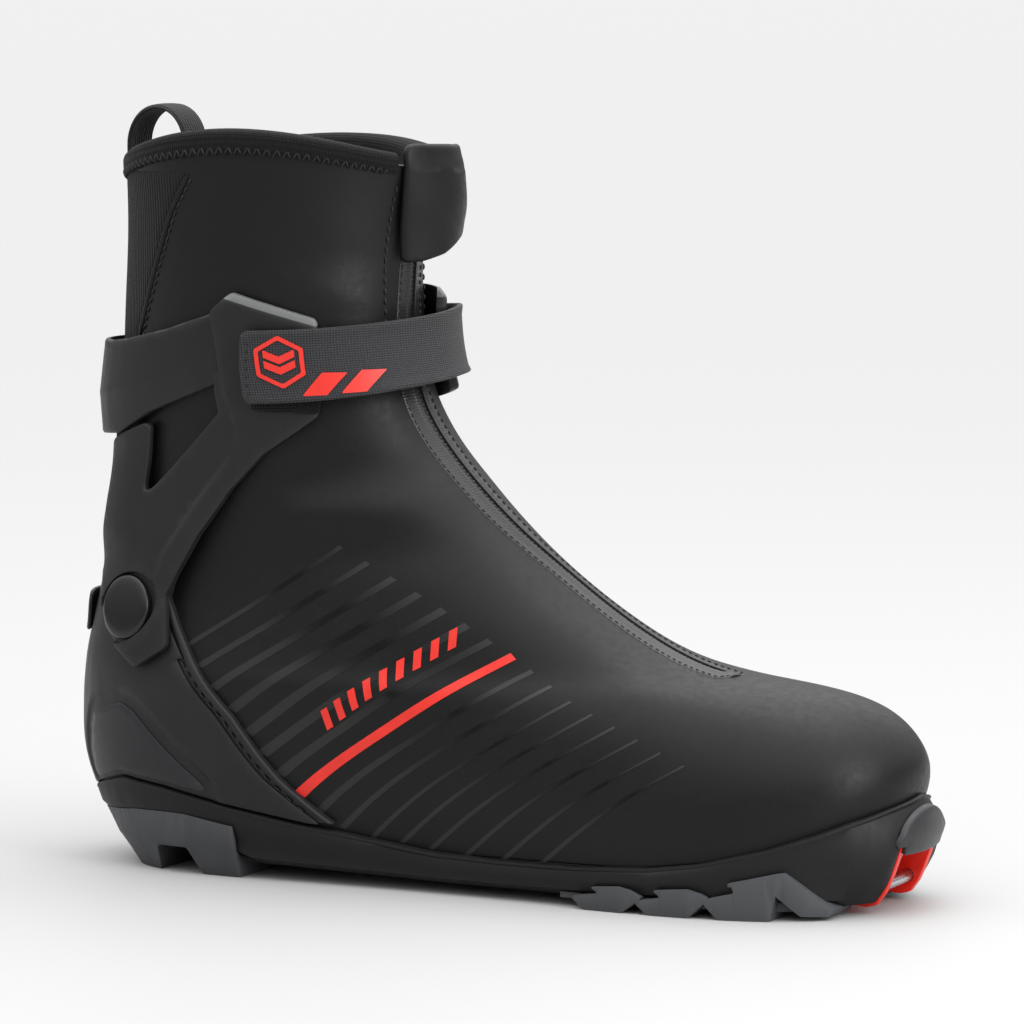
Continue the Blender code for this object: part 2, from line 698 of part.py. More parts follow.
def make_inner_boot_shaft():
    angles = ring_angles()
    outer_rings, inner_rings = [], []
    for share in np.linspace(0, 1, 6):
        levels = np.array([shaft_foot(angle) + share * (COLLAR - 0.12 - shaft_foot(angle)) for angle in angles])
        outer_rings.append(off_last(angles, levels, np.full(RING, LINER_OUT)))
        inner_rings.append(off_last(angles, levels, np.full(RING, LINER_IN)))
    thick("inner_boot_shaft", np.concatenate(outer_rings), np.concatenate(inner_rings),
          grid_faces(len(outer_rings), RING, closed=True), "lining")


def make_toe_puff():
    def row(level):
        return math.pi + np.arange(-5, 6) * 2 * math.pi / RING
    grid_sheet("toe_puff", row, (1.0, 1.6, 2.2, 2.9, 3.6), -2.9, -2.3, "composite")


def make_lacing():
    """Speed lace under the zip: a zigzag between two eyestays, held by a lock at the top."""
    levels = np.linspace(5.7, 6.7, 7)

    def across(w, level, off):
        angle = math.pi - math.asin(abs(w) / float(last_row(level)[6]))
        return off_last(np.array(math.copysign(angle, w)), np.array(level), off)

    for side, word in ((1, "lateral"), (-1, "medial")):
        rows = [[across(side * w, level, -4.9) for w in (11, 15, 19)] for level in np.linspace(5.6, 6.75, 5)]
        low = [[across(side * w, level, -5.8) for w in (11, 15, 19)] for level in np.linspace(5.6, 6.75, 5)]
        faces = grid_faces(5, 3)
        if side > 0:
            faces = [tuple(reversed(face)) for face in faces]
        outer, inner = np.array(rows).reshape(-1, 3), np.array(low).reshape(-1, 3)
        thick(f"eyestay_{word}", outer, inner, faces, "webbing")
    route = []
    for k, (start, end) in enumerate(zip(levels, levels[1:])):
        side = 1 if k % 2 else -1
        route += [across(side * w, start + (end - start) * share, -3.6)
                  for share, w in ((0.0, 14), (0.25, 7), (0.5, 0.1), (0.75, -7))]
    route.append(across(-side * 14, levels[-1], -3.6))
    add_cord("speed_lace", route, 0.9)
    lock = [(-18.0, 100.5), (-10.0, 100.5), (-10.0, 105.5), (-18.0, 105.5)]
    plate("lace_lock", lock, -5.4, -2.6, "gloss_plastic", place=lambda w, z, off: on_front(-w, z, off))


def add_cord(name, route, radius):
    """A round cord with filled caps along a route of points."""
    curve = bpy.data.curves.new(name, "CURVE")
    curve.dimensions = "3D"
    curve.bevel_depth = radius * MM
    curve.bevel_resolution = 2
    curve.use_fill_caps = True
    line = curve.splines.new("POLY")
    line.points.add(len(route) - 1)
    for point, place in zip(line.points, route):
        point.co = (*((np.asarray(place) + SHIFT) * MM), 1.0)
    curve.materials.append(bpy.data.materials["lace"])
    thing = bpy.data.objects.new(name, curve)
    bpy.context.scene.collection.objects.link(thing)


# ---------------------------------------------------------------- upper, shaft part

RIM_LEVEL = 12.96  # of the shaft's cloth, just under the collar

# Seam of the ribbed panel at the back of the shaft, as (arc length, height)
SEAM = ((16.5, 109.0), (22.0, 130.0), (29.0, 152.0), (36.8, 174.7), (45.0, 194.5), (53.1, 212.4), (67.3, 233.0))


def edge_along(levels_of, start, end, count):
    """(arc, height) points along a line of levels of the last, from one angle to another."""
    line = []
    for angle in np.linspace(start, end, count):
        z = float(surface(angle, levels_of(angle))[2])
        line.append((arc_of(angle, z), z))
    return line


def seam_point(z, inset=0.0):
    return (float(np.interp(z, [row[1] for row in SEAM], [row[0] for row in SEAM])) - inset, z)


def make_shaft_panels():
    for side, word in ((1, "lateral"), (-1, "medial")):
        bottom = edge_along(shaft_foot, math.radians(26), math.radians(150), 9)
        bottom = [point for point in bottom if point[0] > seam_point(point[1])[0] + 6]
        front = [(around(side, z) - SLOT_HALF - 0.6, z) for z in (142.0, 152.0, 163.0, 180.0, 200.0, 215.0)]
        top = edge_along(lambda _: RIM_LEVEL, math.radians(164), math.radians(88), 8)
        back = [seam_point(z) for z in (226.0, 212.0, 195.0, 175.0, 152.0, 130.0, 112.5)]
        outline = [*bottom, *front, *top, *back]
        if side < 0:
            outline = mirrored(outline)
        plate(f"upper_shaft_{word}", outline, -UPPER_SKIN, 0.0, "coated_fabric", step=9.0, radius=0)


def make_achilles_panel():
    heights = (112.5, 130.0, 152.0, 175.0, 195.0, 212.0, 225.0)
    half = [seam_point(z, 0.4) for z in heights]
    outline = [*half, *reversed([(-u, z) for u, z in half])]
    plate("achilles_panel", outline, -1.8, -0.4, "knit", step=9.0, radius=0)


def make_collar_binding():
    """Edging folded over the rim of the shaft and of the inner boot, open at the front."""
    section = ((12.5, 0.0, 0.4), (12.5, 0.0, 1.9), (13.0, 0.5, 1.9), (13.0, 3.2, 0.4), (13.0, 3.2, -7.8),
               (13.0, 0.5, -9.3), (12.5, 0.0, -9.3), (12.5, 0.0, -8.0), (13.0, 0.6, -8.0), (13.0, 0.6, 0.4))
    rings = []
    for angle in np.radians(np.linspace(-160, 162, 47)):
        ring = []
        for level, rise, off in section:
            point = off_last(np.array(angle), np.array(level), off)
            flat = off_last(np.array(angle), np.array(level), 0.0)
            ring.append((point[0], point[1], flat[2] + rise))
        rings.append(ring)
    count = len(section)
    faces = grid_faces(len(rings), count, closed=True)
    faces += [tuple(range(count)), tuple(range(len(rings) * count - 1, (len(rings) - 1) * count - 1, -1))]
    binding = add_object("collar_binding", np.concatenate(rings), faces, "knit")
    fix_normals(binding)


def make_pull_loop():
    """Webbing bent over the back of the collar, one leg outside and one inside."""
    centre_x, centre_z, radius = -119.8, 233.5, 12.2
    half_width, thickness = 8.0, 1.5
    path = [(centre_x - radius, 222.0), (centre_x - radius, 228.0)]
    path += [(centre_x - radius * math.cos(t), centre_z + radius * 1.05 * math.sin(t))
             for t in np.linspace(0, math.pi, 13)]
    path += [(centre_x + radius - 1.0, 226.0), (centre_x + radius - 1.5, 221.0)]
    outline = []
    for sign in (1, -1):
        for k in range(len(path)) if sign > 0 else reversed(range(len(path))):
            ahead = np.array(path[min(k + 1, len(path) - 1)]) - np.array(path[max(k - 1, 0)])
            normal = np.array([-ahead[1], ahead[0]]) / np.linalg.norm(ahead)
            outline.append(np.array(path[k]) + normal * sign * thickness / 2)
    prism("pull_loop", outline, -half_width, half_width, "webbing")


# ---------------------------------------------------------------- zip

def front_rows(widths, levels, off):
    rows = []
    for level in levels:
        full = float(last_row(level)[6] + last_row(level)[9]) / 2
        for w in widths:
            angle = math.copysign(math.pi - math.asin(abs(w) / full), w) if w else math.pi
            rows.append(off_last(np.array(angle), np.array(level), off))
    return np.array(rows)


def front_strip(name, widths, levels, off_in, off_out, material):
    """A strip along the front line. widths run from the lateral side to the medial side."""
    faces = grid_faces(len(levels), len(widths))
    thick(name, front_rows(widths, levels, off_out), front_rows(widths, levels, off_in), faces, material)


def make_zip():
    """The closed zip: one strip on the instep, one that bends at the ankle, and tapes on the shaft."""
    closed = (SLOT_HALF - 0.7, 4.0, 0.0, -4.0, 0.7 - SLOT_HALF)
    front_strip("zipper_instep", closed, np.linspace(SLOT_START + 0.6, 7.08, 10), -1.8, -0.5, "webbing")
    front_strip("zipper_bend", closed, np.linspace(7.12, 8.63, 8), -1.8, -0.5, "webbing")
    levels = np.linspace(8.67, 12.9, 18)
    for side, word in ((1, "lateral"), (-1, "medial")):
        widths = (SLOT_HALF - 0.7, 4.0, CHAIN_HALF + GAP)
        widths = widths if side > 0 else tuple(-w for w in reversed(widths))
        front_strip(f"zipper_tape_{word}", widths, levels, -1.8, -0.7, "webbing")
    front_strip("zipper_chain", (CHAIN_HALF, -CHAIN_HALF), levels, -1.6, 0.1, "shell_plastic")


SLIDER_LEVEL = 12.22
SLIDER_LENGTH, PULL_LENGTH = 8.0, 9.0


def make_slider():
    place = off_last(np.array(math.pi), np.array(SLIDER_LEVEL), 0.5)
    low, high = place - (-1.0, 3.0, SLIDER_LENGTH / 2), place + (3.3, 3.0, SLIDER_LENGTH / 2)
    box("zipper_slider", low, high, "gloss_plastic")
    pull_low = (high[0] + 0.3, -2.2, low[2] + 2.0 - PULL_LENGTH)
    pull_high = (high[0] + 1.1, 2.2, low[2] + 2.0)
    box("zipper_pull", pull_low, pull_high, "gloss_plastic")


# Hood over the zip's top end: distance off the front against arc length from the front line
FLAP_OFF = ((-37, 4.8), (-31, 6.8), (-24, 9.6), (-14, 11.4), (-6, 11.6), (0, 11.2), (6, 9.8), (8.4, 6.0), (9.6, 2.9))
FLAP_THICK = 2.3


def flap_rise(w, z):
    """Distance of the hood's outer face off the surface: it leans in towards its top."""
    lean = 1 - 0.5 * float(smooth_step(z, 217.0, 234.0)) * float(smooth_step(w, -37.0, -14.0))
    return float(table(FLAP_OFF, w)) * lean


def make_collar_flap():
    low = ((-37, 210.0), (-16, 208.5), (-8, 205.0), (-2, 200.5), (4, 198.0), (9.6, 197.0))
    high = ((9.6, 214.0), (9.6, 230.5), (-4, 233.5), (-18, 234.5), (-30, 233.5), (-37, 230.0))
    # Counted from the front line, lateral is on the left as seen from outside
    flat, faces = fill(rounded([(-w, z) for w, z in reversed((*low, *high))], 4.0), (), 5.0)
    outer = [on_front(-w, z, flap_rise(-w, z)) for w, z in flat]
    inner = [on_front(-w, z, flap_rise(-w, z) - FLAP_THICK) for w, z in flat]
    thick("collar_flap", outer, inner, faces, "coated_fabric")


# ---------------------------------------------------------------- heel counter

COUNTER_FRONT = ((118.4, 18.4), (105.2, 33.7), (90.1, 53.7), (73.3, 71.5), (63.3, 82.1), (57.0, 89.5), (57.0, 96.0))
TRIM_WIDTH = 3.4


def counter_edge(shift):
    return [(u - shift, z) for u, z in COUNTER_FRONT]


def make_counter():
    clear = 0.6
    bottom = [(u, z + clear) for u, z in SOLE_LINE if u <= 108]
    corner = (114.6, 19.8)
    side = [*bottom[1:], corner, *counter_edge(TRIM_WIDTH + GAP)[1:], (44.0, 93.5), (20.0, 91.0)]
    outline = [bottom[0], *side, (0, 90.5), *reversed([(-u, z) for u, z in side])]
    holes = [circle(side * PIVOT_U, PIVOT_Z, PIN_RADIUS + 0.7) for side in (1, -1)]
    plate("heel_counter", outline, COUNTER_IN, COUNTER_OUT, "shell_plastic", step=9.0, radius=0.8, holes=holes)


def make_counter_trims():
    for side, word in ((1, "lateral"), (-1, "medial")):
        front = [(u, z) for u, z in COUNTER_FRONT[1:]]
        outline = [(115.0, 20.4), (117.4, 20.3), *front, *reversed(counter_edge(TRIM_WIDTH)[1:])]
        outline = outline if side > 0 else mirrored(outline)
        plate(f"counter_trim_{word}", outline, COUNTER_IN, COUNTER_OUT, "shell_plastic", step=8.0, radius=0.5)


def make_counter_inlays():
    outline = ((26.0, 28.4), (42.9, 32.6), (60.5, 30.6), (79.5, 27.0), (52.5, 52.0), (47.0, 54.6), (31.0, 50.0),
               (28.0, 38.0))
    for side, word in ((1, "lateral"), (-1, "medial")):
        plate(f"counter_inlay_{word}", outline if side > 0 else mirrored(outline), COUNTER_OUT + 0.6,
              COUNTER_OUT + 1.3, "gloss_plastic", step=8.0, radius=3.0)


def make_heel_tab():
    def lean(u, z):
        return COUNTER_OUT + 0.4 + 3.0 * float(smooth_step(z, 78.0, 91.0))
    outline = ((-19, 78.0), (19, 78.0), (16, 91.0), (-16, 91.0))
    plate("heel_tab", outline, lean, lambda u, z: lean(u, z) + 1.4, "shell_plastic", step=8.0, radius=3.0)


# ---------------------------------------------------------------- cuff

# From the wing's peak down its front, round the rivet boss, and up the rear arm to the band
CUFF_LOWER = ((97.9, 144.9), (85.9, 136.9), (75.2, 125.3), (65.8, 110.1), (60.6, 97.5), (58.5, 90.0), (65.5, 73.2),
              (55.7, 66.1), (35.0, 78.1), (27.5, 95.0), (26.0, 120.0), (26.5, 138.9), (45.2, 146.6), (42.3, 120.9),
              (71.2, 150.1), (70.2, 157.5), (72.1, 172.2), (70.6, 182.5))
WING_TIP_LATERAL = ((77.5, 188.7), (104.0, 180.1), (103.5, 149.0))
WING_TIP_MEDIAL = ((77.5, 188.7), (112.0, 188.5), (128.0, 187.5), (131.0, 182.0), (131.0, 160.0), (127.0, 153.0),
                   (108.0, 149.5))


def cuff_inner(u, z):
    """Distance off the surface: clear of the counter at the rivet, close to the shaft above it.

    The medial wing's tip stands clear of the zip.
    """
    tip = 3.2 * float(smooth_step(abs(u), 92.0, 122.0)) if u < 0 and z > 140 else 0.0
    return CUFF_IN - 2.6 * float(smooth_step(z, 104.0, 138.0)) + tip


def cuff_outer(u, z):
    return cuff_inner(u, z) + CUFF_THICK


def make_cuff_wings():
    for side, word, tip in ((1, "lateral", WING_TIP_LATERAL), (-1, "medial", WING_TIP_MEDIAL)):
        # The outline runs clockwise on the lateral side, so it is turned round there
        outline = [*tip, *CUFF_LOWER]
        outline = list(reversed(outline)) if side > 0 else [(-u, z) for u, z in outline]
        hole = circle(side * PIVOT_U, PIVOT_Z, PIN_RADIUS + 0.8)
        plate(f"cuff_wing_{word}", outline, cuff_inner, cuff_outer, "shell_plastic", step=8.0, radius=2.0,
              holes=[hole])


def make_cuff_band():
    def inner(u, z):
        return 1.4 + 2.2 * (1 - float(smooth_step(abs(u), 34.0, 62.0)))
    # From the middle of its lower edge round one end to the middle of its top edge
    half = ((14.0, 139.6), (31.6, 141.4), (45.9, 149.3), (69.4, 158.4), (71.2, 172.0), (69.4, 181.6), (54.0, 176.3),
            (37.6, 171.8), (27.8, 169.5))
    outline = [(0, 139.0), *half, (0, 168.5), *mirrored(half)]
    plate("cuff_band", outline, inner, lambda u, z: inner(u, z) + 2.3, "shell_plastic", step=8.0, radius=2.0)


def make_rivets():
    for side, word in ((1, "lateral"), (-1, "medial")):
        u = side * PIVOT_U
        outside = cuff_outer(u, PIVOT_Z)
        rod(f"rivet_pin_{word}", on_skin(u, PIVOT_Z, 0.7), on_skin(u, PIVOT_Z, outside - 0.1), PIN_RADIUS, "steel")
        rod(f"rivet_cap_{word}", on_skin(u, PIVOT_Z, outside + 0.5), on_skin(u, PIVOT_Z, outside + 2.2),
            CAP_RADIUS, "gloss_plastic", sides=32)


# ---------------------------------------------------------------- ankle strap

STRAP_THICK = 1.8
STRAP_LATERAL_END, STRAP_MEDIAL_END = 62.0, -58.0
ANCHOR_W, ANCHOR_Z = -52.0, 166.5
# Distance of the strap's inner face off the surface, against arc length from the front line
STRAP_OFF = ((-58, 6.2), (-42, 7.0), (-30, 9.4), (-18, 10.8), (-6, 10.4), (8, 8.8), (24, 7.6), (40, 7.3), (62, 7.3))


def strap_low(w):
    return float(table(((-58, 154.5), (-20, 157.5), (0, 156.5), (20, 155.0), (62, 154.0)), w))


def strap_high(w):
    return float(table(((-58, 178.0), (-20, 182.5), (0, 181.0), (22, 178.8), (62, 177.2)), w))


def make_strap():
    ws = np.linspace(STRAP_MEDIAL_END, STRAP_LATERAL_END, 26)
    outer, inner = [], []
    for share in (0.0, 0.5, 1.0):
        for w in ws:
            z = strap_low(w) + share * (strap_high(w) - strap_low(w))
            off = float(table(STRAP_OFF, w))
            outer.append(on_front(w, z, off + STRAP_THICK))
            inner.append(on_front(w, z, off))
    # w grows towards the lateral side, against the angle seen from outside
    faces = [tuple(reversed(face)) for face in grid_faces(3, len(ws))]
    thick("ankle_strap", outer, inner, faces, "webbing")
    anchor = on_front(ANCHOR_W, ANCHOR_Z, 0.0)
    outward = on_front(ANCHOR_W, ANCHOR_Z, 1.0) - anchor
    base = float(table(STRAP_OFF, ANCHOR_W))
    rod("strap_anchor_rivet", anchor + outward * (base + STRAP_THICK + 0.3),
        anchor + outward * (base + STRAP_THICK + 1.9), 4.5, "gloss_plastic")
    hook = ((83.0, 152.5), (104.0, 151.0), (104.5, 174.5), (83.0, 175.0))
    plate("strap_hook_pad", hook, lambda u, z: cuff_outer(u, z) + 0.3, lambda u, z: cuff_outer(u, z) + 1.2,
          "webbing", step=8.0, radius=1.5)


# ---------------------------------------------------------------- joint axes

# A point on each joint's axis, in the last's frame, and the nodes that turn about it
AXES = (
    ((-115.1, 0.0, 85.7), (
        "upper_shaft_lateral", "upper_shaft_medial", "achilles_panel", "collar_binding", "pull_loop",
        "inner_boot_shaft", "zipper_tape_lateral", "zipper_tape_medial", "zipper_chain", "cuff_wing_lateral",
        "cuff_wing_medial", "cuff_band", "rivet_cap_lateral", "rivet_cap_medial", "strap_hook_pad")),
    ((-67.1, 42.4, 166.2), ("ankle_strap", "strap_anchor_rivet")),
    ((-43.2, 33.6, 217.6), ("collar_flap",)),
    ((77.25, 0.0, 189.2), ("zipper_slider",)),
    ((-24.15, 0.0, 210.5), ("zipper_pull",)),
)


def set_origins():
    for point, names in AXES:
        origin = Vector((np.array(point) + SHIFT) * MM)
        for name in names:
            thing = bpy.data.objects[name]
            thing.data.transform(Matrix.Translation(thing.location - origin))
            thing.location = origin


def main():
    clear_scene()
    for name in COLOURS:
        make_material(name)
    make_outsole()
    make_heel_tread()
    make_forefoot_tread(1, "forefoot_tread_lateral")
    make_forefoot_tread(-1, "forefoot_tread_medial")
    make_toe_unit()
    make_toe_guard()
    make_sole_layer("sole_plate", 6.0, 0.3, 1.0, "composite")
    make_sole_layer("lasting_board", 6.0, 1.6, 1.4, "board")
    make_sole_layer("insole", 12.0, 6.0, 3.0, "lining")
    make_vamp()
    make_flex_zone()
    make_inner_boot_foot()
    make_inner_boot_shaft()
    make_toe_puff()
    make_lacing()
    make_shaft_panels()
    make_achilles_panel()
    make_collar_binding()
    make_pull_loop()
    make_zip()
    make_slider()
    make_collar_flap()
    make_counter()
    make_counter_trims()
    make_counter_inlays()
    make_heel_tab()
    make_cuff_wings()
    make_cuff_band()
    make_rivets()
    make_strap()
    set_origins()


main()
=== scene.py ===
"""Looks of the cross country skate boot: a zipped coated upper over a padded inner boot, a moulded
heel counter and hinged cuff with an ankle strap, on a two colour sole with a toe bar.

The boot is described on the surface of its last, as the frame is. A point of the surface has an
angle round the foot (0 at the heel, +180 degrees at the toe on the lateral side, -180 on the medial
side) and a level (0 at the sole, 13 at the collar). Plates that lie on it are drawn flat, by arc
length round the boot and height, and given a distance off the surface. Numbers are in millimetres.
"""

import math

import bmesh
import bpy
import numpy as np
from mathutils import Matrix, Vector, geometry


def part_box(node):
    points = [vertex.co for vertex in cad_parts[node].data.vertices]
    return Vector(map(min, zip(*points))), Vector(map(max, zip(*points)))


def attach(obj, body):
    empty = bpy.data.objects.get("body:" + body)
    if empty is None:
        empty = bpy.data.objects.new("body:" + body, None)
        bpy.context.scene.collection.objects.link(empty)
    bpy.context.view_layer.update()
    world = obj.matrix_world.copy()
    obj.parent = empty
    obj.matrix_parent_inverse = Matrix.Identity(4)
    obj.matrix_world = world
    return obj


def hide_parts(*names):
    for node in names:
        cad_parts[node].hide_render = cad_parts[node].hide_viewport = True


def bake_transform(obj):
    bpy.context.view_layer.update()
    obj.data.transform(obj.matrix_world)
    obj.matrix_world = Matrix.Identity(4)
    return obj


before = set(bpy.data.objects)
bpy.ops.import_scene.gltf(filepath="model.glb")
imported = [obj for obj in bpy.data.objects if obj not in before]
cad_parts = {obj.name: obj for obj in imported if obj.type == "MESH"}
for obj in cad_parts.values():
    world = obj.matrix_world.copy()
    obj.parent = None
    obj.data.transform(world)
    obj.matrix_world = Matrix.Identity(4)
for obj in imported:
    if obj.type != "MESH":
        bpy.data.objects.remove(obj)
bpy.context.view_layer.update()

MM = 0.001
SHIFT = np.array([0.65, 0.1, 0.0])  # from the last's own frame to the boot's

# ---- the last: back x z, front x z, lateral back/mid/front fullness, medial ditto, side lift
LAST = np.array([
    (-134.0, 12.0, 134.0, 16.0, 62, 37.5, 80, 62, 34.0, 84, -3),
    (-143.5, 33.0, 143.0, 36.0, 66, 40.0, 78, 66, 36.5, 82, -8),
    (-145.0, 48.0, 142.0, 49.0, 68, 40.0, 71, 68, 37.0, 75, -5),
    (-144.8, 55.5, 132.5, 59.5, 67, 39.5, 58, 67, 37.5, 62, -2),
    (-144.2, 61.5, 112.0, 66.0, 65, 39.5, 46, 65, 38.0, 50, 0),
    (-143.0, 69.0, 76.0, 71.5, 61, 39.0, 45, 61, 38.0, 48, 0),
    (-140.5, 79.0, 45.5, 84.5, 56, 38.0, 47, 56, 37.0, 48, 0),
    (-137.5, 91.0, 18.0, 104.0, 50, 36.5, 45, 50, 36.0, 45, 0),
    (-134.5, 107.0, -4.5, 125.5, 46, 35.5, 43, 46, 35.0, 43, 0),
    (-132.5, 128.0, -20.5, 145.0, 43, 36.0, 41, 43, 35.5, 41, 0),
    (-131.5, 150.0, -29.0, 165.0, 42, 38.0, 40, 42, 37.0, 40, 0),
    (-130.5, 178.0, -31.0, 188.0, 42, 40.5, 40, 42, 39.0, 40, 2),
    (-129.0, 204.0, -29.5, 209.0, 43, 42.5, 41, 43, 41.0, 41, 6),
    (-129.0, 226.0, -25.0, 228.0, 46, 44.0, 43, 46, 42.0, 43, 10),
])
COLLAR = len(LAST) - 1.0

# ---- thicknesses and distances off the last, as in the frame
UPPER_SKIN = 2.0
LINER_OUT, LINER_IN = -4.2, -7.2
COUNTER_IN, COUNTER_OUT = 0.4, 2.6
CUFF_IN, CUFF_THICK = 4.0, 2.3
SOLE_WALL = 2.8
GAP = 0.3

PIVOT_U, PIVOT_Z = 44.5, 84.8
CAP_RADIUS = 10.5

RECESS_BACK_X = 117.0
TOE_BAR_X, TOE_BAR_Z, TOE_BAR_RADIUS = 134.5, 8.0, 2.0

# Heights by x: the outsole's underside, and its floor under the foot
UNDERSIDE = ((-145, 9.2), (-84, 9.2), (-70, 4.8), (0, 3.0), (60, 3.2), (106, 5.0), (117, 3.4), (150, 3.6))
FLOOR = ((-145, 14.0), (-84, 14.0), (-40, 13.2), (20, 13.0), (66, 13.6), (113, 20.0), (150, 20.0))
# Height of the outsole's top edge, by arc length from the heel's back
SOLE_LINE = ((0, 25.2), (17, 25.0), (43, 30.3), (60, 28.2), (80, 24.1), (108, 19.6), (118, 18.6),
             (157, 13.6), (184, 12.8), (212, 13.0), (239, 14.4), (256, 16.8), (275, 22.0), (298, 30.2),
             (312, 33.4), (330, 36.2))

# The ankle's bend from the foot to the shaft lies between these two points
BEND_START = (-6.9, 0.0, 101.3)
BEND_END = (-17.0, 0.0, 140.0)

RING = 200  # points round a closed ring, even, the first at the heel's back


# ---------------------------------------------------------------- the last's surface

def spline_moments(rows):
    """Second derivatives of the natural cubic spline through rows, one knot a row."""
    count = len(rows)
    matrix = np.eye(count)
    target = np.zeros_like(rows)
    for i in range(1, count - 1):
        matrix[i, i - 1:i + 2] = (1, 4, 1)
        target[i] = 6 * (rows[i - 1] - 2 * rows[i] + rows[i + 1])
    return np.linalg.solve(matrix, target)


def on_spline(rows, moments, place):
    """Rows of the spline at places counted in knots."""
    i = np.clip(place.astype(int), 0, len(rows) - 2)
    t = (place - i)[..., None]
    s = 1 - t
    bend = (s ** 3 - s) * moments[i] + (t ** 3 - t) * moments[i + 1]
    return s * rows[i] + t * rows[i + 1] + bend / 6


MOMENTS = spline_moments(LAST)


def last_row(level):
    return on_spline(LAST, MOMENTS, np.clip(np.asarray(level, float), 0, COLLAR))


def surface(angle, level):
    """Points of the last at angles in radians, positive on the lateral side, and levels."""
    angle, level = np.broadcast_arrays(np.asarray(angle, float), np.asarray(level, float))
    row = last_row(level)
    lateral = angle >= 0
    back = np.where(lateral, row[..., 4], row[..., 7])
    middle = np.where(lateral, row[..., 5], row[..., 8])
    front = np.where(lateral, row[..., 6], row[..., 9])
    even = (back + front) / 2
    cos, sin = np.cos(angle), np.sin(angle)
    width = (even + middle) / 2 + (back - front) / 2 * cos + (even - middle) / 2 * np.cos(2 * angle)
    along = (1 - cos) / 2
    x = row[..., 0] + (row[..., 2] - row[..., 0]) * along
    z = row[..., 1] + (row[..., 3] - row[..., 1]) * along + row[..., 10] * sin ** 2
    return np.stack([x, -sin * width, z], -1)


def surface_normal(angle, level):
    step = 1e-3
    level = np.asarray(level, float)
    round_it = surface(angle + step, level) - surface(angle - step, level)
    up = surface(angle, np.minimum(level + step, COLLAR)) - surface(angle, np.maximum(level - step, 0))
    normal = np.cross(round_it, up)
    return normal / np.linalg.norm(normal, axis=-1, keepdims=True)


def off_last(angle, level, off):
    angle, level, off = np.broadcast_arrays(*(np.asarray(value, float) for value in (angle, level, off)))
    return surface(angle, level) + surface_normal(angle, level) * off[..., None]


SLICE_STEP = 2.0
SLICE_Z = np.arange(4.0, 244.0, SLICE_STEP)
SHARES = np.linspace(0, 1, 121)


def slice_table(side):
    """At even heights: the arc from heel to front, and the angle and level at even shares of it."""
    angles = np.linspace(0, math.pi, 145)
    levels = np.linspace(0, COLLAR, 500)
    at_height = np.array([
        np.interp(SLICE_Z, surface(side * angle, levels)[:, 2], levels) for angle in angles
    ]).T
    points = surface(side * angles, at_height)
    steps = np.linalg.norm(np.diff(points[..., :2], axis=1), axis=-1)
    arcs = np.concatenate([np.zeros((len(SLICE_Z), 1)), np.cumsum(steps, axis=1)], axis=1)
    angle_at = np.array([np.interp(SHARES * row[-1], row, angles) for row in arcs])
    level_at = np.array([np.interp(found, angles, row) for found, row in zip(angle_at, at_height)])
    return arcs[:, -1], angle_at, level_at


SLICES = {1: slice_table(1), -1: slice_table(-1)}


def around(side, z):
    """Arc length from the heel's back to the front, at height z."""
    return np.interp(z, SLICE_Z, SLICES[side][0])


def place_on_last(u, z):
    """Angle and level at signed arc length u from the heel's back and height z."""
    u, z = np.broadcast_arrays(np.asarray(u, float), np.asarray(z, float))
    angle, level = np.zeros(u.shape), np.zeros(u.shape)
    row = np.clip((z - SLICE_Z[0]) / SLICE_STEP, 0, len(SLICE_Z) - 1.001)
    low = row.astype(int)
    up = row - low
    for side in (1, -1):
        totals, angle_at, level_at = SLICES[side]
        span = totals[low] * (1 - up) + totals[low + 1] * up
        column = np.clip(np.abs(u) / span, 0, 1) * (len(SHARES) - 1.001)
        left = column.astype(int)
        right = column - left
        mine = (u >= 0) if side > 0 else (u < 0)
        for target, grid in ((angle, angle_at), (level, level_at)):
            near = grid[low, left] * (1 - right) + grid[low, left + 1] * right
            far = grid[low + 1, left] * (1 - right) + grid[low + 1, left + 1] * right
            target[mine] = (near * (1 - up) + far * up)[mine]
        angle[mine] *= side
    return angle, level


def skin(u, z, off):
    """Points off the surface at signed arc length u from the heel's back and height z."""
    u, z, off = np.broadcast_arrays(*(np.asarray(value, float) for value in (u, z, off)))
    angle, level = place_on_last(u, z)
    points = surface(angle, level)
    beyond = (level <= 0.001) | (level >= COLLAR - 0.001)
    points[..., 2] = np.where(beyond, z, points[..., 2])
    return points + surface_normal(angle, level) * off[..., None]


def front(w, z, off):
    """As skin, with the arc length counted from the front line instead, lateral positive."""
    w, z = np.broadcast_arrays(np.asarray(w, float), np.asarray(z, float))
    span = np.where(w >= 0, around(1, z), around(-1, z))
    return skin(np.where(w >= 0, 1, -1) * (span - np.abs(w)), z, off)


def arc_along(points):
    """Arc length from the first point to each point."""
    return np.concatenate([[0.0], np.cumsum(np.linalg.norm(np.diff(points, axis=0), axis=1))])


ZIP_END_LEVEL = 4.78  # on the instep
ZIP_LEVELS = np.linspace(ZIP_END_LEVEL, COLLAR, 300)
ZIP_ARC = arc_along(surface(math.pi, ZIP_LEVELS))


def instep(w, length, off):
    """Points off the surface w mm across the front line, length mm along it from the zip's end."""
    w, length = np.broadcast_arrays(np.asarray(w, float), np.asarray(length, float))
    level = np.interp(length, ZIP_ARC, ZIP_LEVELS)
    row = last_row(level)
    half = (row[..., 6] + row[..., 9]) / 2
    angle = (math.pi - np.arcsin(np.abs(w) / half)) * np.where(w >= 0, 1, -1)
    points = off_last(angle, level, off)
    return points + np.stack([0 * w, 0 * w, np.maximum(length - ZIP_ARC[-1], 0)], -1)


def smooth_step(value, low, high):
    t = np.clip((np.asarray(value, float) - low) / (high - low), 0, 1)
    return t * t * (3 - 2 * t)


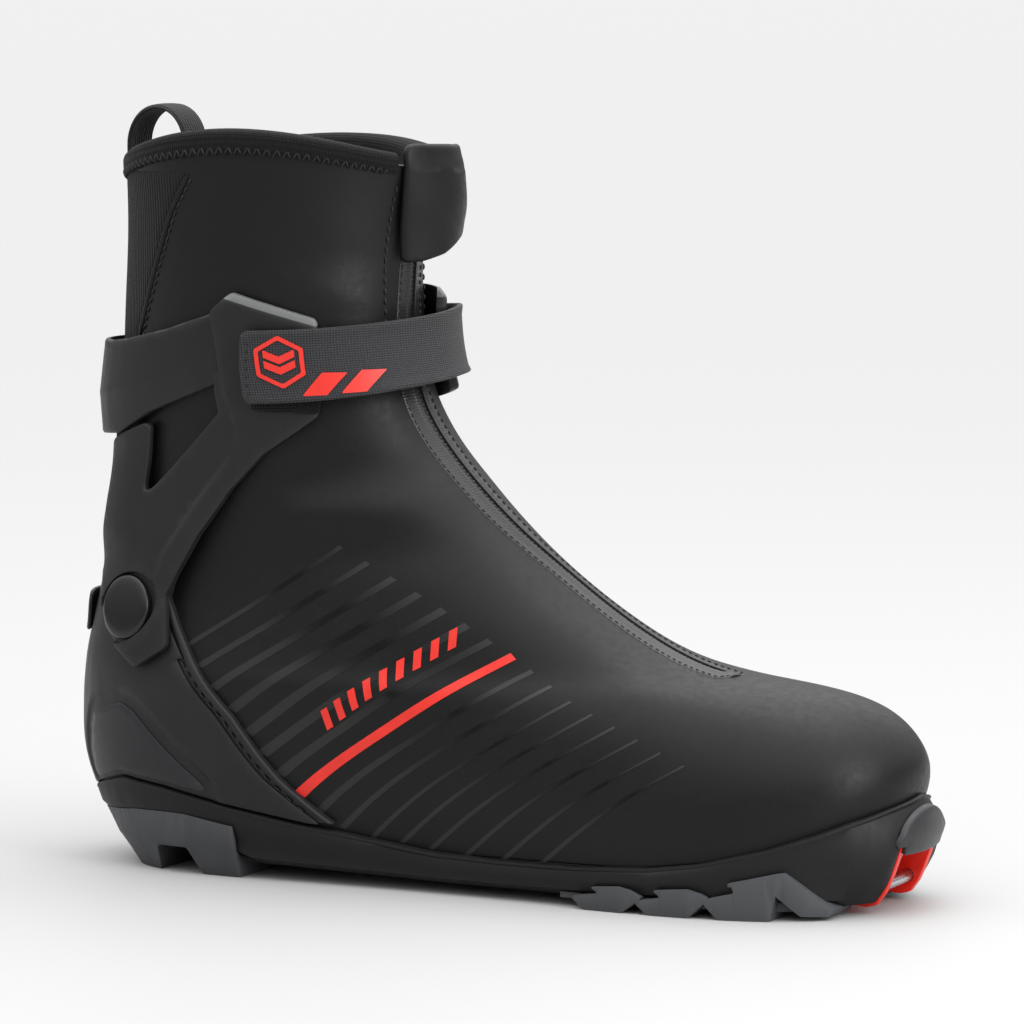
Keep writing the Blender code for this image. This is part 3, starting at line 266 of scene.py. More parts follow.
def table(pairs, value):
    return np.interp(value, [pair[0] for pair in pairs], [pair[1] for pair in pairs])


def curve_through(pairs, value):
    """As table, but smooth: the natural spline through evenly indexed pairs."""
    rows = np.array(pairs, float)
    place = np.interp(value, rows[:, 0], np.arange(len(rows)))
    return on_spline(rows, spline_moments(rows), place)[..., 1]


def u_at(line, z):
    """Arc length at height z of a line of (arc length, height)."""
    rows = sorted(line, key=lambda row: row[1])
    return np.interp(z, [row[1] for row in rows], [row[0] for row in rows])


# ---------------------------------------------------------------- materials

def new_tree(name, roughness, metallic=0.0, sheen=0.0, coat=0.0, specular=0.5):
    material = bpy.data.materials.new(name)
    material.use_nodes = True
    tree = material.node_tree
    shader = tree.nodes["Principled BSDF"]
    shader.inputs["Metallic"].default_value = metallic
    shader.inputs["Sheen Weight"].default_value = sheen
    shader.inputs["Sheen Roughness"].default_value = 0.4
    shader.inputs["Coat Weight"].default_value = coat
    shader.inputs["Coat Roughness"].default_value = 0.15
    shader.inputs["Specular IOR Level"].default_value = specular
    shader.inputs["Roughness"].default_value = roughness
    return material, tree, shader


def node(tree, kind, values=(), **settings):
    made = tree.nodes.new(f"ShaderNode{kind}")
    for key, value in settings.items():
        setattr(made, key, value)
    for socket, value in values:
        made.inputs[socket].default_value = value
    return made


def noise(tree, vector, scale, detail=4.0, stretch=None):
    """Fractal noise with features of 1/scale metres, stretched along an axis if asked."""
    if stretch:
        mapping = node(tree, "Mapping", [("Scale", stretch)])
        tree.links.new(vector, mapping.inputs["Vector"])
        vector = mapping.outputs["Vector"]
    made = node(tree, "TexNoise", [("Scale", scale), ("Detail", detail)])
    tree.links.new(vector, made.inputs["Vector"])
    return made.outputs["Fac"]


def ramp(tree, value, low, high, at=(0.3, 0.7)):
    """Value, from 0 to 1, mapped to a range of numbers or of colours."""
    made = node(tree, "ValToRGB")
    stops = made.color_ramp.elements
    for stop, place, end in zip(stops, at, (low, high)):
        stop.position = place
        stop.color = (*end, 1.0) if isinstance(end, tuple) else (end, end, end, 1.0)
    tree.links.new(value, made.inputs["Fac"])
    return made.outputs["Color"]


def bump(tree, shader, layers):
    """Bump from (height socket, distance in mm) layers, one over the other."""
    before = None
    for height, distance in layers:
        made = node(tree, "Bump", [("Strength", 1.0), ("Distance", distance * MM)])
        tree.links.new(height, made.inputs["Height"])
        if before:
            tree.links.new(before, made.inputs["Normal"])
        before = made.outputs["Normal"]
    tree.links.new(before, shader.inputs["Normal"])


def shade(colour, factor):
    return tuple(min(channel * factor, 1.0) for channel in colour)


def moulded(name, colour, roughness, grain=0.05, coat=0.0, specular=0.28, wear=1.5):
    """Moulded plastic or rubber: fine grain, slightly uneven gloss, and paler rubbed edges."""
    material, tree, shader = new_tree(name, roughness, coat=coat, specular=specular)
    where = node(tree, "TexCoord").outputs["Object"]
    patches = noise(tree, where, 38.0, 5.0)
    fine = noise(tree, where, 2600.0, 2.0)
    scuffs = noise(tree, where, 240.0, 6.0, stretch=(1.0, 1.0, 0.25))
    pointy = node(tree, "NewGeometry").outputs["Pointiness"]
    edge = ramp(tree, pointy, 0.0, 1.0, at=(0.515, 0.56))
    mix = node(tree, "Mix", data_type="RGBA")
    tree.links.new(edge, mix.inputs["Factor"])
    tree.links.new(ramp(tree, patches, shade(colour, 0.85), shade(colour, 1.15)), mix.inputs[6])
    mix.inputs[7].default_value = (*shade(colour, wear), 1.0)
    tree.links.new(mix.outputs[2], shader.inputs["Base Color"])
    gloss = ramp(tree, scuffs, roughness * 0.88, min(roughness * 1.18, 1.0))
    tree.links.new(gloss, shader.inputs["Roughness"])
    bump(tree, shader, ((fine, grain), (patches, grain * 1.5)))
    return material


def coated_fabric():
    """Laminated upper cloth: satin film over a fine weave, with a slight orange peel."""
    colour = (0.0040, 0.0040, 0.0044)
    material, tree, shader = new_tree("coated_fabric_look", 0.42, sheen=0.01, specular=0.22)
    where = node(tree, "TexCoord").outputs["Object"]
    patches = noise(tree, where, 22.0, 5.0)
    peel = noise(tree, where, 420.0, 3.0)
    fine = noise(tree, where, 3000.0, 2.0)
    tree.links.new(ramp(tree, patches, shade(colour, 0.85), shade(colour, 1.2)), shader.inputs["Base Color"])
    tree.links.new(ramp(tree, peel, 0.38, 0.50), shader.inputs["Roughness"])
    bump(tree, shader, ((peel, 0.05), (fine, 0.03)))
    return material


def wave(tree, vector, scale, direction):
    made = node(tree, "TexWave", [("Scale", scale), ("Distortion", 0.6), ("Detail", 1.0)],
                wave_type="BANDS", bands_direction=direction, wave_profile="SIN")
    tree.links.new(vector, made.inputs["Vector"])
    return made.outputs["Fac"]


WAVE_PERIOD = 20.0 / (2 * math.pi)  # a wave texture repeats every 1/(scale * this)


def woven(name, colour, pitch, depth, roughness=0.85, sheen=0.3, ribs=False, contrast=2.2):
    """Cloth on the piece's flat pattern, in mm: a weave of two sets of threads, or ribs along it."""
    material, tree, shader = new_tree(name, roughness, sheen=sheen, specular=0.3)
    flat = node(tree, "UVMap", uv_map="cloth").outputs["UV"]
    scale = 1.0 / (pitch * WAVE_PERIOD)
    across = wave(tree, flat, scale, "X")
    if ribs:
        along = wave(tree, flat, scale * 2.2, "Y")
        shape = node(tree, "Math", [(1, 0.25)], operation="MULTIPLY_ADD")
        tree.links.new(along, shape.inputs[0])
        tree.links.new(across, shape.inputs[2])
    else:
        along = wave(tree, flat, scale, "Y")
        shape = node(tree, "Math", operation="MULTIPLY")
        tree.links.new(across, shape.inputs[0])
        tree.links.new(along, shape.inputs[1])
    where = node(tree, "TexCoord").outputs["Object"]
    fuzz = noise(tree, where, 1500.0, 3.0)
    height = shape.outputs[0]
    shades = ramp(tree, height, shade(colour, 1 / contrast), shade(colour, 1.25), at=(0.1, 0.8))
    tree.links.new(shades, shader.inputs["Base Color"])
    tree.links.new(ramp(tree, fuzz, roughness * 0.9, min(roughness * 1.1, 1.0)), shader.inputs["Roughness"])
    bump(tree, shader, ((height, depth), (fuzz, 0.04)))
    return material


def brushed_metal(name, colour, roughness):
    material, tree, shader = new_tree(name, roughness, metallic=1.0)
    where = node(tree, "TexCoord").outputs["Object"]
    lines = noise(tree, where, 300.0, 5.0, stretch=(12.0, 0.6, 12.0))
    tree.links.new(ramp(tree, lines, shade(colour, 0.8), shade(colour, 1.1)), shader.inputs["Base Color"])
    tree.links.new(ramp(tree, lines, roughness * 0.8, roughness * 1.3), shader.inputs["Roughness"])
    bump(tree, shader, ((lines, 0.01),))
    return material


def printed(name, colour, roughness, coat=0.0):
    """Film printed on cloth: even colour with faint mottling, and the cloth's grain through it."""
    material, tree, shader = new_tree(name, roughness, coat=coat)
    where = node(tree, "TexCoord").outputs["Object"]
    mottle = noise(tree, where, 160.0, 4.0)
    grain = noise(tree, where, 1800.0, 3.0)
    tree.links.new(ramp(tree, mottle, shade(colour, 0.92), shade(colour, 1.06)), shader.inputs["Base Color"])
    tree.links.new(ramp(tree, grain, roughness * 0.85, roughness * 1.15), shader.inputs["Roughness"])
    bump(tree, shader, ((grain, 0.03),))
    return material


def dotted_film():
    """Glossy film of the zip's welt, with fine rows of embossed dots."""
    colour = (0.0105, 0.0108, 0.0118)
    material, tree, shader = new_tree("zip_film_look", 0.34, specular=0.35)
    flat = node(tree, "UVMap", uv_map="cloth").outputs["UV"]
    dots = node(tree, "TexVoronoi", [("Scale", 1.0), ("Randomness", 0.25)])
    tree.links.new(flat, dots.inputs["Vector"])
    shades = ramp(tree, dots.outputs["Distance"], shade(colour, 1.6), colour, at=(0.15, 0.45))
    tree.links.new(shades, shader.inputs["Base Color"])
    tree.links.new(ramp(tree, dots.outputs["Distance"], 0.28, 0.42), shader.inputs["Roughness"])
    bump(tree, shader, ((dots.outputs["Distance"], 0.10),))
    return material


def striped_film():
    """Print of a stripe, by its share of the length: grey, then fading to gloss black, then a pale tip."""
    material, tree, shader = new_tree("stripe_film_look", 0.3, specular=0.3)
    flat = node(tree, "UVMap", uv_map="cloth").outputs["UV"]
    split = node(tree, "SeparateXYZ")
    tree.links.new(flat, split.inputs["Vector"])
    fade = node(tree, "ValToRGB")
    stops = ((0.0, 0.0150), (0.38, 0.0125), (0.55, 0.0040), (0.72, 0.0024), (0.83, 0.0110), (1.0, 0.0200))
    ends = fade.color_ramp.elements
    while len(ends) < len(stops):
        ends.new(0.5)
    for stop, (place, grey) in zip(ends, stops):
        stop.position = place
        stop.color = (grey, grey, grey * 0.97, 1.0)
    tree.links.new(split.outputs["X"], fade.inputs["Fac"])
    tree.links.new(fade.outputs["Color"], shader.inputs["Base Color"])
    tree.links.new(ramp(tree, split.outputs["X"], 0.46, 0.20, at=(0.35, 0.6)), shader.inputs["Roughness"])
    bump(tree, shader, ((noise(tree, node(tree, "TexCoord").outputs["Object"], 1800.0, 3.0), 0.02),))
    return material


RED = (0.64, 0.017, 0.008)
LOOKS = {
    "upper": coated_fabric(),
    "stripe": striped_film(),
    "film_red": printed("film_red_look", RED, 0.45),
    "zip_film": dotted_film(),
    "knit": woven("knit_look", (0.0042, 0.0042, 0.0045), 1.3, 0.30, 0.9, 0.03, ribs=True),
    "edge_knit": woven("edge_knit_look", (0.0032, 0.0032, 0.0034), 0.8, 0.25, 0.95, 0.03),
    "lining": woven("lining_look", (0.0075, 0.0075, 0.0085), 1.1, 0.15, 0.92, 0.08),
    "strap": woven("strap_look", (0.036, 0.0365, 0.040), 0.80, 0.28, 0.58, 0.06, contrast=2.6),
    "webbing": woven("webbing_look", (0.0085, 0.0085, 0.0092), 1.5, 0.40, 0.75, 0.05, ribs=True,
                     contrast=3.0),
    "hook": woven("hook_look", (0.0030, 0.0026, 0.0025), 0.9, 0.5, 0.95, 0.08),
    "lace": woven("lace_look", (0.11, 0.11, 0.115), 0.8, 0.2, 0.8, 0.1),
    "shell": moulded("shell_plastic_look", (0.0088, 0.0090, 0.0098), 0.44, 0.05),
    # A pale grey look for the top chamfer of the cuff's wings: a painted highlight of the light catching that
    # edge.
    "painted_highlight_edge": moulded("painted_highlight_edge_look", (0.075, 0.076, 0.078), 0.30, 0.03, specular=0.5),
    "inlay": moulded("inlay_plastic_look", (0.0135, 0.0138, 0.0155), 0.34, 0.03),
    "gloss": moulded("gloss_plastic_look", (0.0052, 0.0052, 0.0056), 0.24, 0.01, specular=0.4),
    "rubber": moulded("sole_rubber_look", (0.0056, 0.0057, 0.0062), 0.48, 0.06, specular=0.24),
    "tread": moulded("tread_rubber_look", (0.043, 0.0443, 0.048), 0.52, 0.08, wear=1.25),
    "arch": moulded("toe_arch_look", (0.022, 0.0225, 0.024), 0.40, 0.04, wear=1.3),
    "red": moulded("red_plastic_look", RED, 0.34, 0.03, wear=1.12),
    "steel": brushed_metal("steel_look", (0.55, 0.55, 0.57), 0.26),
    "thread": printed("thread_look", (0.0026, 0.0026, 0.0028), 0.60),
    "chain": printed("zip_chain_look", (0.0014, 0.0014, 0.0015), 0.45),
    "board": printed("fibre_board_look", (0.30, 0.28, 0.24), 0.85),
    "composite": printed("composite_look", (0.03, 0.03, 0.034), 0.38),
}


# ---------------------------------------------------------------- making pieces

def to_metres(points):
    return (np.asarray(points, float) + SHIFT) * MM


def make_piece(name, points, faces, look, flat=None, sharp=42.0, slots=(), which=None):
    """A smooth mesh from points in mm of the last's frame. flat is its cloth pattern in mm; slots
    are more looks, and which gives each face's slot."""
    mesh = bpy.data.meshes.new(name)
    mesh.from_pydata(to_metres(points).tolist(), [], [list(map(int, face)) for face in faces])
    for material in (LOOKS[look], *(LOOKS[slot] for slot in slots)):
        mesh.materials.append(material)
    if which is not None:
        mesh.polygons.foreach_set("material_index", np.asarray(which, np.int32))
    if flat is not None:
        corners = np.empty(len(mesh.loops), np.int32)
        mesh.loops.foreach_get("vertex_index", corners)
        layer = mesh.uv_layers.new(name="cloth")
        layer.data.foreach_set("uv", np.asarray(flat, np.float32)[corners].ravel())
    outward(mesh)
    mesh.shade_smooth()
    mesh.set_sharp_from_angle(angle=math.radians(sharp))
    thing = bpy.data.objects.new(name, mesh)
    bpy.context.scene.collection.objects.link(thing)
    return thing


def outward(mesh):
    made = bmesh.new()
    made.from_mesh(mesh)
    bmesh.ops.recalc_face_normals(made, faces=made.faces)
    made.to_mesh(mesh)
    made.free()


def finish_piece(thing, body, slot, *nodes):
    """The piece rides on its body, or stays where it is made if it belongs at the ankle's bend, and stands
    for its CAD nodes.
    """
    if body == "bend":
        start, end = (tuple(map(float, to_metres(point))) for point in (BEND_START, BEND_END))
        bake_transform(thing)
        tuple(start)
        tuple(end)
    else:
        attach(thing, body)
    if nodes:
        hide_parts(*nodes)
    return thing


def add_piece(name, mesh, look, body, slot, *nodes, cloth=False, **settings):
    """A piece of points and faces, and of a flat pattern if it is cloth, made and put in its place."""
    flat = mesh[2] if cloth else None
    return finish_piece(make_piece(name, *mesh[:2], look, flat=flat, **settings), body, slot, *nodes)


def joined_parts(parts):
    """Points, faces and flat patterns of several meshes put together."""
    points, faces, flats = [], [], []
    for part in parts:
        first = sum(map(len, points))
        points.append(np.asarray(part[0], float).reshape(-1, 3))
        faces += [tuple(i + first for i in face) for face in part[1]]
        flat = part[2] if len(part) > 2 else np.zeros((len(points[-1]), 2))
        flats.append(np.asarray(flat, float).reshape(-1, 2))
    return np.concatenate(points), faces, np.concatenate(flats)


def grid_faces(rows, width, closed=False, wrap=False):
    """Quads over rows of width points. closed joins each row's ends, wrap joins the last row to the first."""
    faces = []
    for i in range(rows if wrap else rows - 1):
        a, b = i * width, ((i + 1) % rows) * width
        for j in range(width if closed else width - 1):
            k = (j + 1) % width
            faces.append((a + j, a + k, b + k, b + j))
    return faces


def thick(outer, inner, faces):
    """Points and faces of one closed body between two matching sheets of points."""
    count = len(outer)
    directed = {(face[i], face[(i + 1) % len(face)]) for face in faces for i in range(len(face))}
    walls = [(b, a, a + count, b + count) for a, b in sorted(directed) if (b, a) not in directed]
    back = [tuple(i + count for i in reversed(face)) for face in faces]
    return np.concatenate([outer, inner]), [*faces, *back, *walls]


def ring_angles(count=RING):
    half = [math.pi * (k / (count // 2)) for k in range(count // 2 + 1)]
    return np.array(half + [-angle for angle in reversed(half[1:-1])])


def ladder(first, count, upward):
    """Faces that close a ring of points from index first, straight across from side to side."""
    faces = [(first, first + 1, first + count - 1)]
    for k in range(1, count // 2 - 1):
        faces.append((first + k, first + k + 1, first + count - k - 1, first + count - k))
    last = count // 2
    faces.append((first + last - 1, first + last, first + last + 1))
    return faces if upward else [tuple(reversed(face)) for face in faces]


def stack(rings):
    """Points and faces of a closed body through rings of points, closed across both ends."""
    count = len(rings[0])
    faces = ladder(0, count, upward=False) + ladder((len(rings) - 1) * count, count, upward=True)
    return np.concatenate(rings), faces + grid_faces(len(rings), count, closed=True)


def carve(thing, cutter, operation="DIFFERENCE"):
    """Booleans the cutter into the thing's mesh for good, and removes the cutter."""
    modifier = thing.modifiers.new("carve", "BOOLEAN")
    modifier.operation = operation
    modifier.object = cutter
    modifier.solver = "EXACT"
    settle(thing)
    bpy.data.objects.remove(cutter, do_unlink=True)


def settle(thing):
    """The thing's modifiers, made part of its mesh."""
    graph = bpy.context.evaluated_depsgraph_get()
    mesh = bpy.data.meshes.new_from_object(thing.evaluated_get(graph), depsgraph=graph)
    thing.modifiers.clear()
    thing.data = mesh


def soften(thing, width, segments=2, angle=35.0):
    """Rounds the thing's edges."""
    modifier = thing.modifiers.new("soften", "BEVEL")
    modifier.width = width * MM
    modifier.segments = segments
    modifier.limit_method = "ANGLE"
    modifier.angle_limit = math.radians(angle)
    modifier.use_clamp_overlap = True
    modifier.harden_normals = False
    settle(thing)
    thing.data.shade_smooth()
    thing.data.set_sharp_from_angle(angle=math.radians(50))


def box_mesh(low, high):
    corners = [(x, y, z) for x in (low[0], high[0]) for y in (low[1], high[1]) for z in (low[2], high[2])]
    faces = [(0, 1, 3, 2), (4, 6, 7, 5), (0, 4, 5, 1), (2, 3, 7, 6), (0, 2, 6, 4), (1, 5, 7, 3)]
    return np.array(corners, float), faces


def prism_faces(count):
    """Faces of a closed body between two matching outlines of count points."""
    faces = [tuple(range(count)), tuple(range(2 * count - 1, count - 1, -1))]
    return faces + [(k, k + count, (k + 1) % count + count, (k + 1) % count) for k in range(count)]


def prism_mesh(outline, low, high, axis=1):
    """A flat outline pushed through from low to high: (x, z) along y, or (y, z) along x as axis 0."""
    points = [np.insert(np.asarray(point, float), axis, end) for end in (low, high) for point in outline]
    return np.array(points), prism_faces(len(outline))


def turned(profile, start, axis, count=64):
    """A solid of revolution: (radius, height) pairs about the axis from start, closed at both ends."""
    axis = np.asarray(axis, float) / np.linalg.norm(axis)
    side = np.cross(axis, (0.0, 0.0, 1.0) if abs(axis[2]) < 0.9 else (1.0, 0.0, 0.0))
    side /= np.linalg.norm(side)
    other = np.cross(axis, side)
    turns = np.arange(count) * 2 * math.pi / count
    rim = np.cos(turns)[:, None] * side + np.sin(turns)[:, None] * other
    points = np.concatenate([np.asarray(start) + axis * height + rim * radius for radius, height in profile])
    faces = grid_faces(len(profile), count, closed=True)
    faces += [tuple(range(count)), tuple(range((len(profile) - 1) * count, len(profile) * count))]
    return points, faces


# ---------------------------------------------------------------- plates drawn flat

def rounded(outline, radius, arc_points=6):
    """The outline with each corner replaced by an arc, smaller where the sides are short."""
    result = []
    count = len(outline)
    for i in range(count):
        before, here, after = (np.array(outline[(i + k) % count], float) for k in (-1, 0, 1))
        to_before, to_after = before - here, after - here
        reach_before, reach_after = np.linalg.norm(to_before), np.linalg.norm(to_after)
        to_before, to_after = to_before / reach_before, to_after / reach_after
        half = math.acos(float(np.clip(to_before @ to_after, -1, 1))) / 2
        cut = min(radius / math.tan(half), 0.45 * reach_before, 0.45 * reach_after)
        if cut < 0.1:
            result.append(here)
            continue
        start, end = here + to_before * cut, here + to_after * cut
        for k in range(arc_points + 1):
            t = k / arc_points
            result.append((1 - t) ** 2 * start + 2 * t * (1 - t) * here + t * t * end)
    return result


def resampled(line, step, closed=True):
    line = np.asarray(line, float)
    ends = np.roll(line, -1, axis=0) if closed else line[1:]
    points = []
    for here, after in zip(line, ends):
        parts = max(1, round(float(np.linalg.norm(after - here)) / step))
        points += [here + (after - here) * k / parts for k in range(parts)]
    return np.array(points if closed else [*points, line[-1]])


def inside(points, outline):
    x, y = np.asarray(points, float).T
    found = np.zeros(len(x), bool)
    for (x0, y0), (x1, y1) in zip(outline, np.roll(outline, -1, axis=0)):
        if y0 == y1:
            continue
        found ^= ((y0 > y) != (y1 > y)) & (x < x0 + (y - y0) * (x1 - x0) / (y1 - y0))
    return found


def distance_to(points, line, closed=True):
    """Distance of each point to a line of points."""
    points, line = np.asarray(points, float), np.asarray(line, float)
    ends = np.roll(line, -1, axis=0) if closed else line[1:]
    best = np.full(len(points), 1e9)
    for start, end in zip(line, ends):
        side = end - start
        share = np.clip((points - start) @ side / max(side @ side, 1e-9), 0, 1)
        best = np.minimum(best, np.linalg.norm(points - start - share[:, None] * side, axis=1))
    return best


def beside(line, distance, closed=True):
    """The line's points moved sideways."""
    line = np.asarray(line, float)
    if closed:
        ahead = np.roll(line, -1, axis=0) - np.roll(line, 1, axis=0)
    else:
        ahead = np.gradient(line, axis=0)
    ahead /= np.maximum(np.linalg.norm(ahead, axis=1, keepdims=True), 1e-9)
    return line + np.stack([ahead[:, 1], -ahead[:, 0]], -1) * distance


def fill(outline, holes, step, insets, creases):
    """Triangles over the outline less the holes, with rows of points beside the edges and creases."""
    edge_step = min(step, 1.3)
    loops = [resampled(loop, edge_step) for loop in (outline, *holes)]
    points, edges = [], []
    for loop in loops:
        first = len(points)
        points += list(loop)
        edges += [(first + k, first + (k + 1) % len(loop)) for k in range(len(loop))]
    within = np.zeros((0, 2))

    def clear_of(spots, loop_gap):
        if not len(spots):
            return spots
        keep = inside(spots, loops[0])
        for loop in loops[1:]:
            keep &= ~inside(spots, loop)
        for loop in loops:
            keep &= distance_to(spots, loop) > loop_gap
        return spots[keep]

    def apart(spots, gap):
        """The spots farther than gap from every point within."""
        if not len(spots) or not len(within):
            return spots
        return spots[np.min(np.linalg.norm(spots[:, None] - within[None], axis=2), axis=1) > gap]

    for line, offsets in creases:
        fine = resampled(line, edge_step, closed=False)
        for offset in offsets:
            row = clear_of(beside(fine, offset, closed=False), 0.35)
            within = np.concatenate([within, apart(row, 0.2)])
    for inset in insets:
        for loop in loops:
            for way in (1, -1):
                row = clear_of(beside(loop, way * inset), inset * 0.97)
                within = np.concatenate([within, apart(row, 0.3)])
    low, high = loops[0].min(0), loops[0].max(0)
    columns, lines = np.arange(low[0], high[0], step), np.arange(low[1], high[1], step * 0.87)
    grid = [(x + (step / 2 if i % 2 else 0), y) for i, y in enumerate(lines) for x in columns]
    grid = apart(clear_of(np.array(grid), max([*insets, 0]) + step * 0.45), step * 0.45)
    every = [Vector(point) for point in (*points, *within, *grid)]
    found = geometry.delaunay_2d_cdt(every, edges, [], 0, 1e-6)
    flat = np.array([tuple(vert) for vert in found[0]])
    faces = np.array([tuple(face) for face in found[2]])
    middles = flat[faces].mean(axis=1)
    keep = inside(middles, loops[0])
    for loop in loops[1:]:
        keep &= ~inside(middles, loop)
    a, b, c = (flat[faces[:, k]] for k in range(3))
    turn = (b[:, 0] - a[:, 0]) * (c[:, 1] - a[:, 1]) - (b[:, 1] - a[:, 1]) * (c[:, 0] - a[:, 0])
    faces[turn < 0] = faces[turn < 0][:, ::-1]
    faces = faces[keep]
    used, index = np.unique(faces, return_inverse=True)
    return flat[used], [tuple(face) for face in index.reshape(-1, 3).tolist()], loops


def plate_mesh(outline, off_in, off_out, step=2.4, corner=1.0, edge=0.6, holes=(), creases=(),
               place=skin, under=False):
    """Points, faces and flat pattern of a plate with rounded edges on the last's surface.

    off_in and off_out are distances or functions of arrays (u, z); under rounds the inner edge too.
    """
    shape = rounded(outline, corner) if corner else outline
    insets = (edge * 0.14, edge * 0.5, edge) if edge else ()
    flat, faces, loops = fill(np.array(shape), [np.array(hole) for hole in holes], step, insets, creases)
    u, z = flat.T
    distance = np.min([distance_to(flat, loop) for loop in loops], axis=0)
    drop = edge * (1 - np.sqrt(1 - (1 - np.clip(distance / max(edge, 1e-6), 0, 1)) ** 2)) if edge else 0.0
    outside = off_out(u, z) if callable(off_out) else off_out
    within = off_in(u, z) if callable(off_in) else off_in
    outer = place(u, z, outside - drop)
    inner = place(u, z, within + (drop if under else 0.0))
    points, faces = thick(outer, inner, faces)
    return points, faces, np.concatenate([flat, flat])


def mirrored(outline):
    return [(-u, z) for u, z in reversed(outline)]


def round_mesh(centre, side, out, sizes, count, flatten=1.0):
    """A closed body of count points round each point of a line, sizes its half widths there."""
    turns = np.arange(count) * 2 * math.pi / count
    cos, sin = np.cos(turns)[:, None], np.sin(turns)[:, None] * flatten
    rings = [centre[k] + (cos * side[k] + sin * out[k]) * sizes[k] for k in range(len(centre))]
    last = (len(rings) - 1) * count
    faces = grid_faces(len(rings), count, closed=True)
    return np.concatenate(rings), [*faces, tuple(range(count)), tuple(range(last, last + count))]


def stitches_mesh(line, place, length=2.3, gap=1.0, radius=0.33, off=0.25):
    """A row of stitches along a flat line: short threads that rise between two holes."""
    line = resampled(line, 0.5, closed=False)
    arc = arc_along(line)
    shares = np.array([0.0, 0.12, 0.35, 0.65, 0.88, 1.0])
    swell = np.array([0.35, 0.85, 1.0, 1.0, 0.85, 0.35])
    rise = np.array([-0.8, 0.1, 0.55, 0.55, 0.1, -0.8]) * radius
    parts = []
    for start in np.arange(gap / 2, arc[-1] - length, length + gap):
        at = start + shares * length
        u, z = np.interp(at, arc, line[:, 0]), np.interp(at, arc, line[:, 1])
        centre = place(u, z, off + rise)
        out = place(u, z, off + rise + 1.0) - centre
        ahead = np.gradient(centre, axis=0)
        ahead /= np.linalg.norm(ahead, axis=1, keepdims=True)
        parts.append(round_mesh(centre, np.cross(ahead, out), out, radius * swell, 6))
    return joined_parts(parts)


def tube_mesh(line, place, radius, off, flatten=1.0):
    """A round bead along a flat line."""
    line = resampled(line, 1.2, closed=False)
    centre = place(line[:, 0], line[:, 1], off)
    out = place(line[:, 0], line[:, 1], off + 1.0) - centre
    ahead = np.gradient(centre, axis=0)
    side = np.cross(ahead / np.linalg.norm(ahead, axis=1, keepdims=True), out)
    from_end = np.minimum(np.arange(len(line)), np.arange(len(line))[::-1])
    taper = np.clip(from_end / 2.0, 0.15, 1.0)
    return round_mesh(centre, side, out, radius * taper, 10, flatten)


def inflate(thing, held, pressure, cap, frames=20):
    """Cloth under pressure: vertices not held swell, each by cap mm at most, and the shape is kept."""
    group = thing.vertex_groups.new(name="held")
    group.add([int(i) for i in np.flatnonzero(held)], 1.0, "REPLACE")
    cloth = thing.modifiers.new("cloth", "CLOTH")
    cloth.settings.quality = 6
    cloth.settings.mass = 0.15
    cloth.settings.tension_stiffness = 12
    cloth.settings.compression_stiffness = 12
    cloth.settings.bending_stiffness = 0.4
    cloth.settings.vertex_group_mass = "held"
    cloth.settings.use_pressure = True
    cloth.settings.uniform_pressure_force = pressure
    cloth.settings.effector_weights.gravity = 0.0
    cloth.collision_settings.use_self_collision = False
    scene = bpy.context.scene
    for number in range(1, frames + 1):
        scene.frame_set(number)
    graph = bpy.context.evaluated_depsgraph_get()
    swollen = thing.evaluated_get(graph).data
    after = np.empty(len(thing.data.vertices) * 3)
    before = np.empty(len(thing.data.vertices) * 3)
    swollen.vertices.foreach_get("co", after)
    thing.data.vertices.foreach_get("co", before)
    move = (after - before).reshape(-1, 3)
    reach = np.linalg.norm(move, axis=1, keepdims=True)
    move *= np.minimum(1.0, cap * MM / np.maximum(reach, 1e-9))
    thing.modifiers.remove(cloth)
    thing.vertex_groups.clear()
    thing.data.vertices.foreach_set("co", (before.reshape(-1, 3) + move).ravel())
    thing.data.update()
    scene.frame_set(1)


# ---------------------------------------------------------------- sole unit

def flat_normal(angles):
    normal = surface_normal(angles, np.full(len(angles), 0.3))
    normal[:, 2] = 0
    return normal / np.linalg.norm(normal, axis=1, keepdims=True)


def sole_ring(off, height, taper=0.0):
    """A ring under the foot: the last's sole outline moved out by off, its height a function of x.
    taper draws the ring in behind the heel."""
    angles = ring_angles()
    out = flat_normal(angles)
    ring = surface(angles, 0.25) + out * off
    backward = np.clip(-out[:, 0], 0, 1) ** 2
    ring -= out * (taper * backward)[:, None]
    ring[:, 2] = height(ring[:, 0])
    return ring


def sole_line(angles):
    """Height of the outsole's top edge at angles."""
    row = int((20 - SLICE_Z[0]) / SLICE_STEP)
    total, angle_at, _ = SLICES[1]
    u = np.interp(np.abs(angles), angle_at[row], SHARES * total[row])
    return table(SOLE_LINE, u * SOLE_LINE[-1][0] / total[row])


def level_at(angles, heights):
    """Level of the foot part of the last at angles and heights."""
    levels = np.linspace(0, 4, 120)
    return np.array([np.interp(z, surface(angle, levels)[:, 2], levels) for angle, z in zip(angles, heights)])


def foot_level(angles):
    """Level of the last where it meets the outsole's floor."""
    levels = np.linspace(0, 2, 80)
    found = []
    for angle in angles:
        points = surface(angle, levels)
        found.append(np.interp(0, points[:, 2] - table(FLOOR, points[:, 0]), levels))
    return np.array(found)


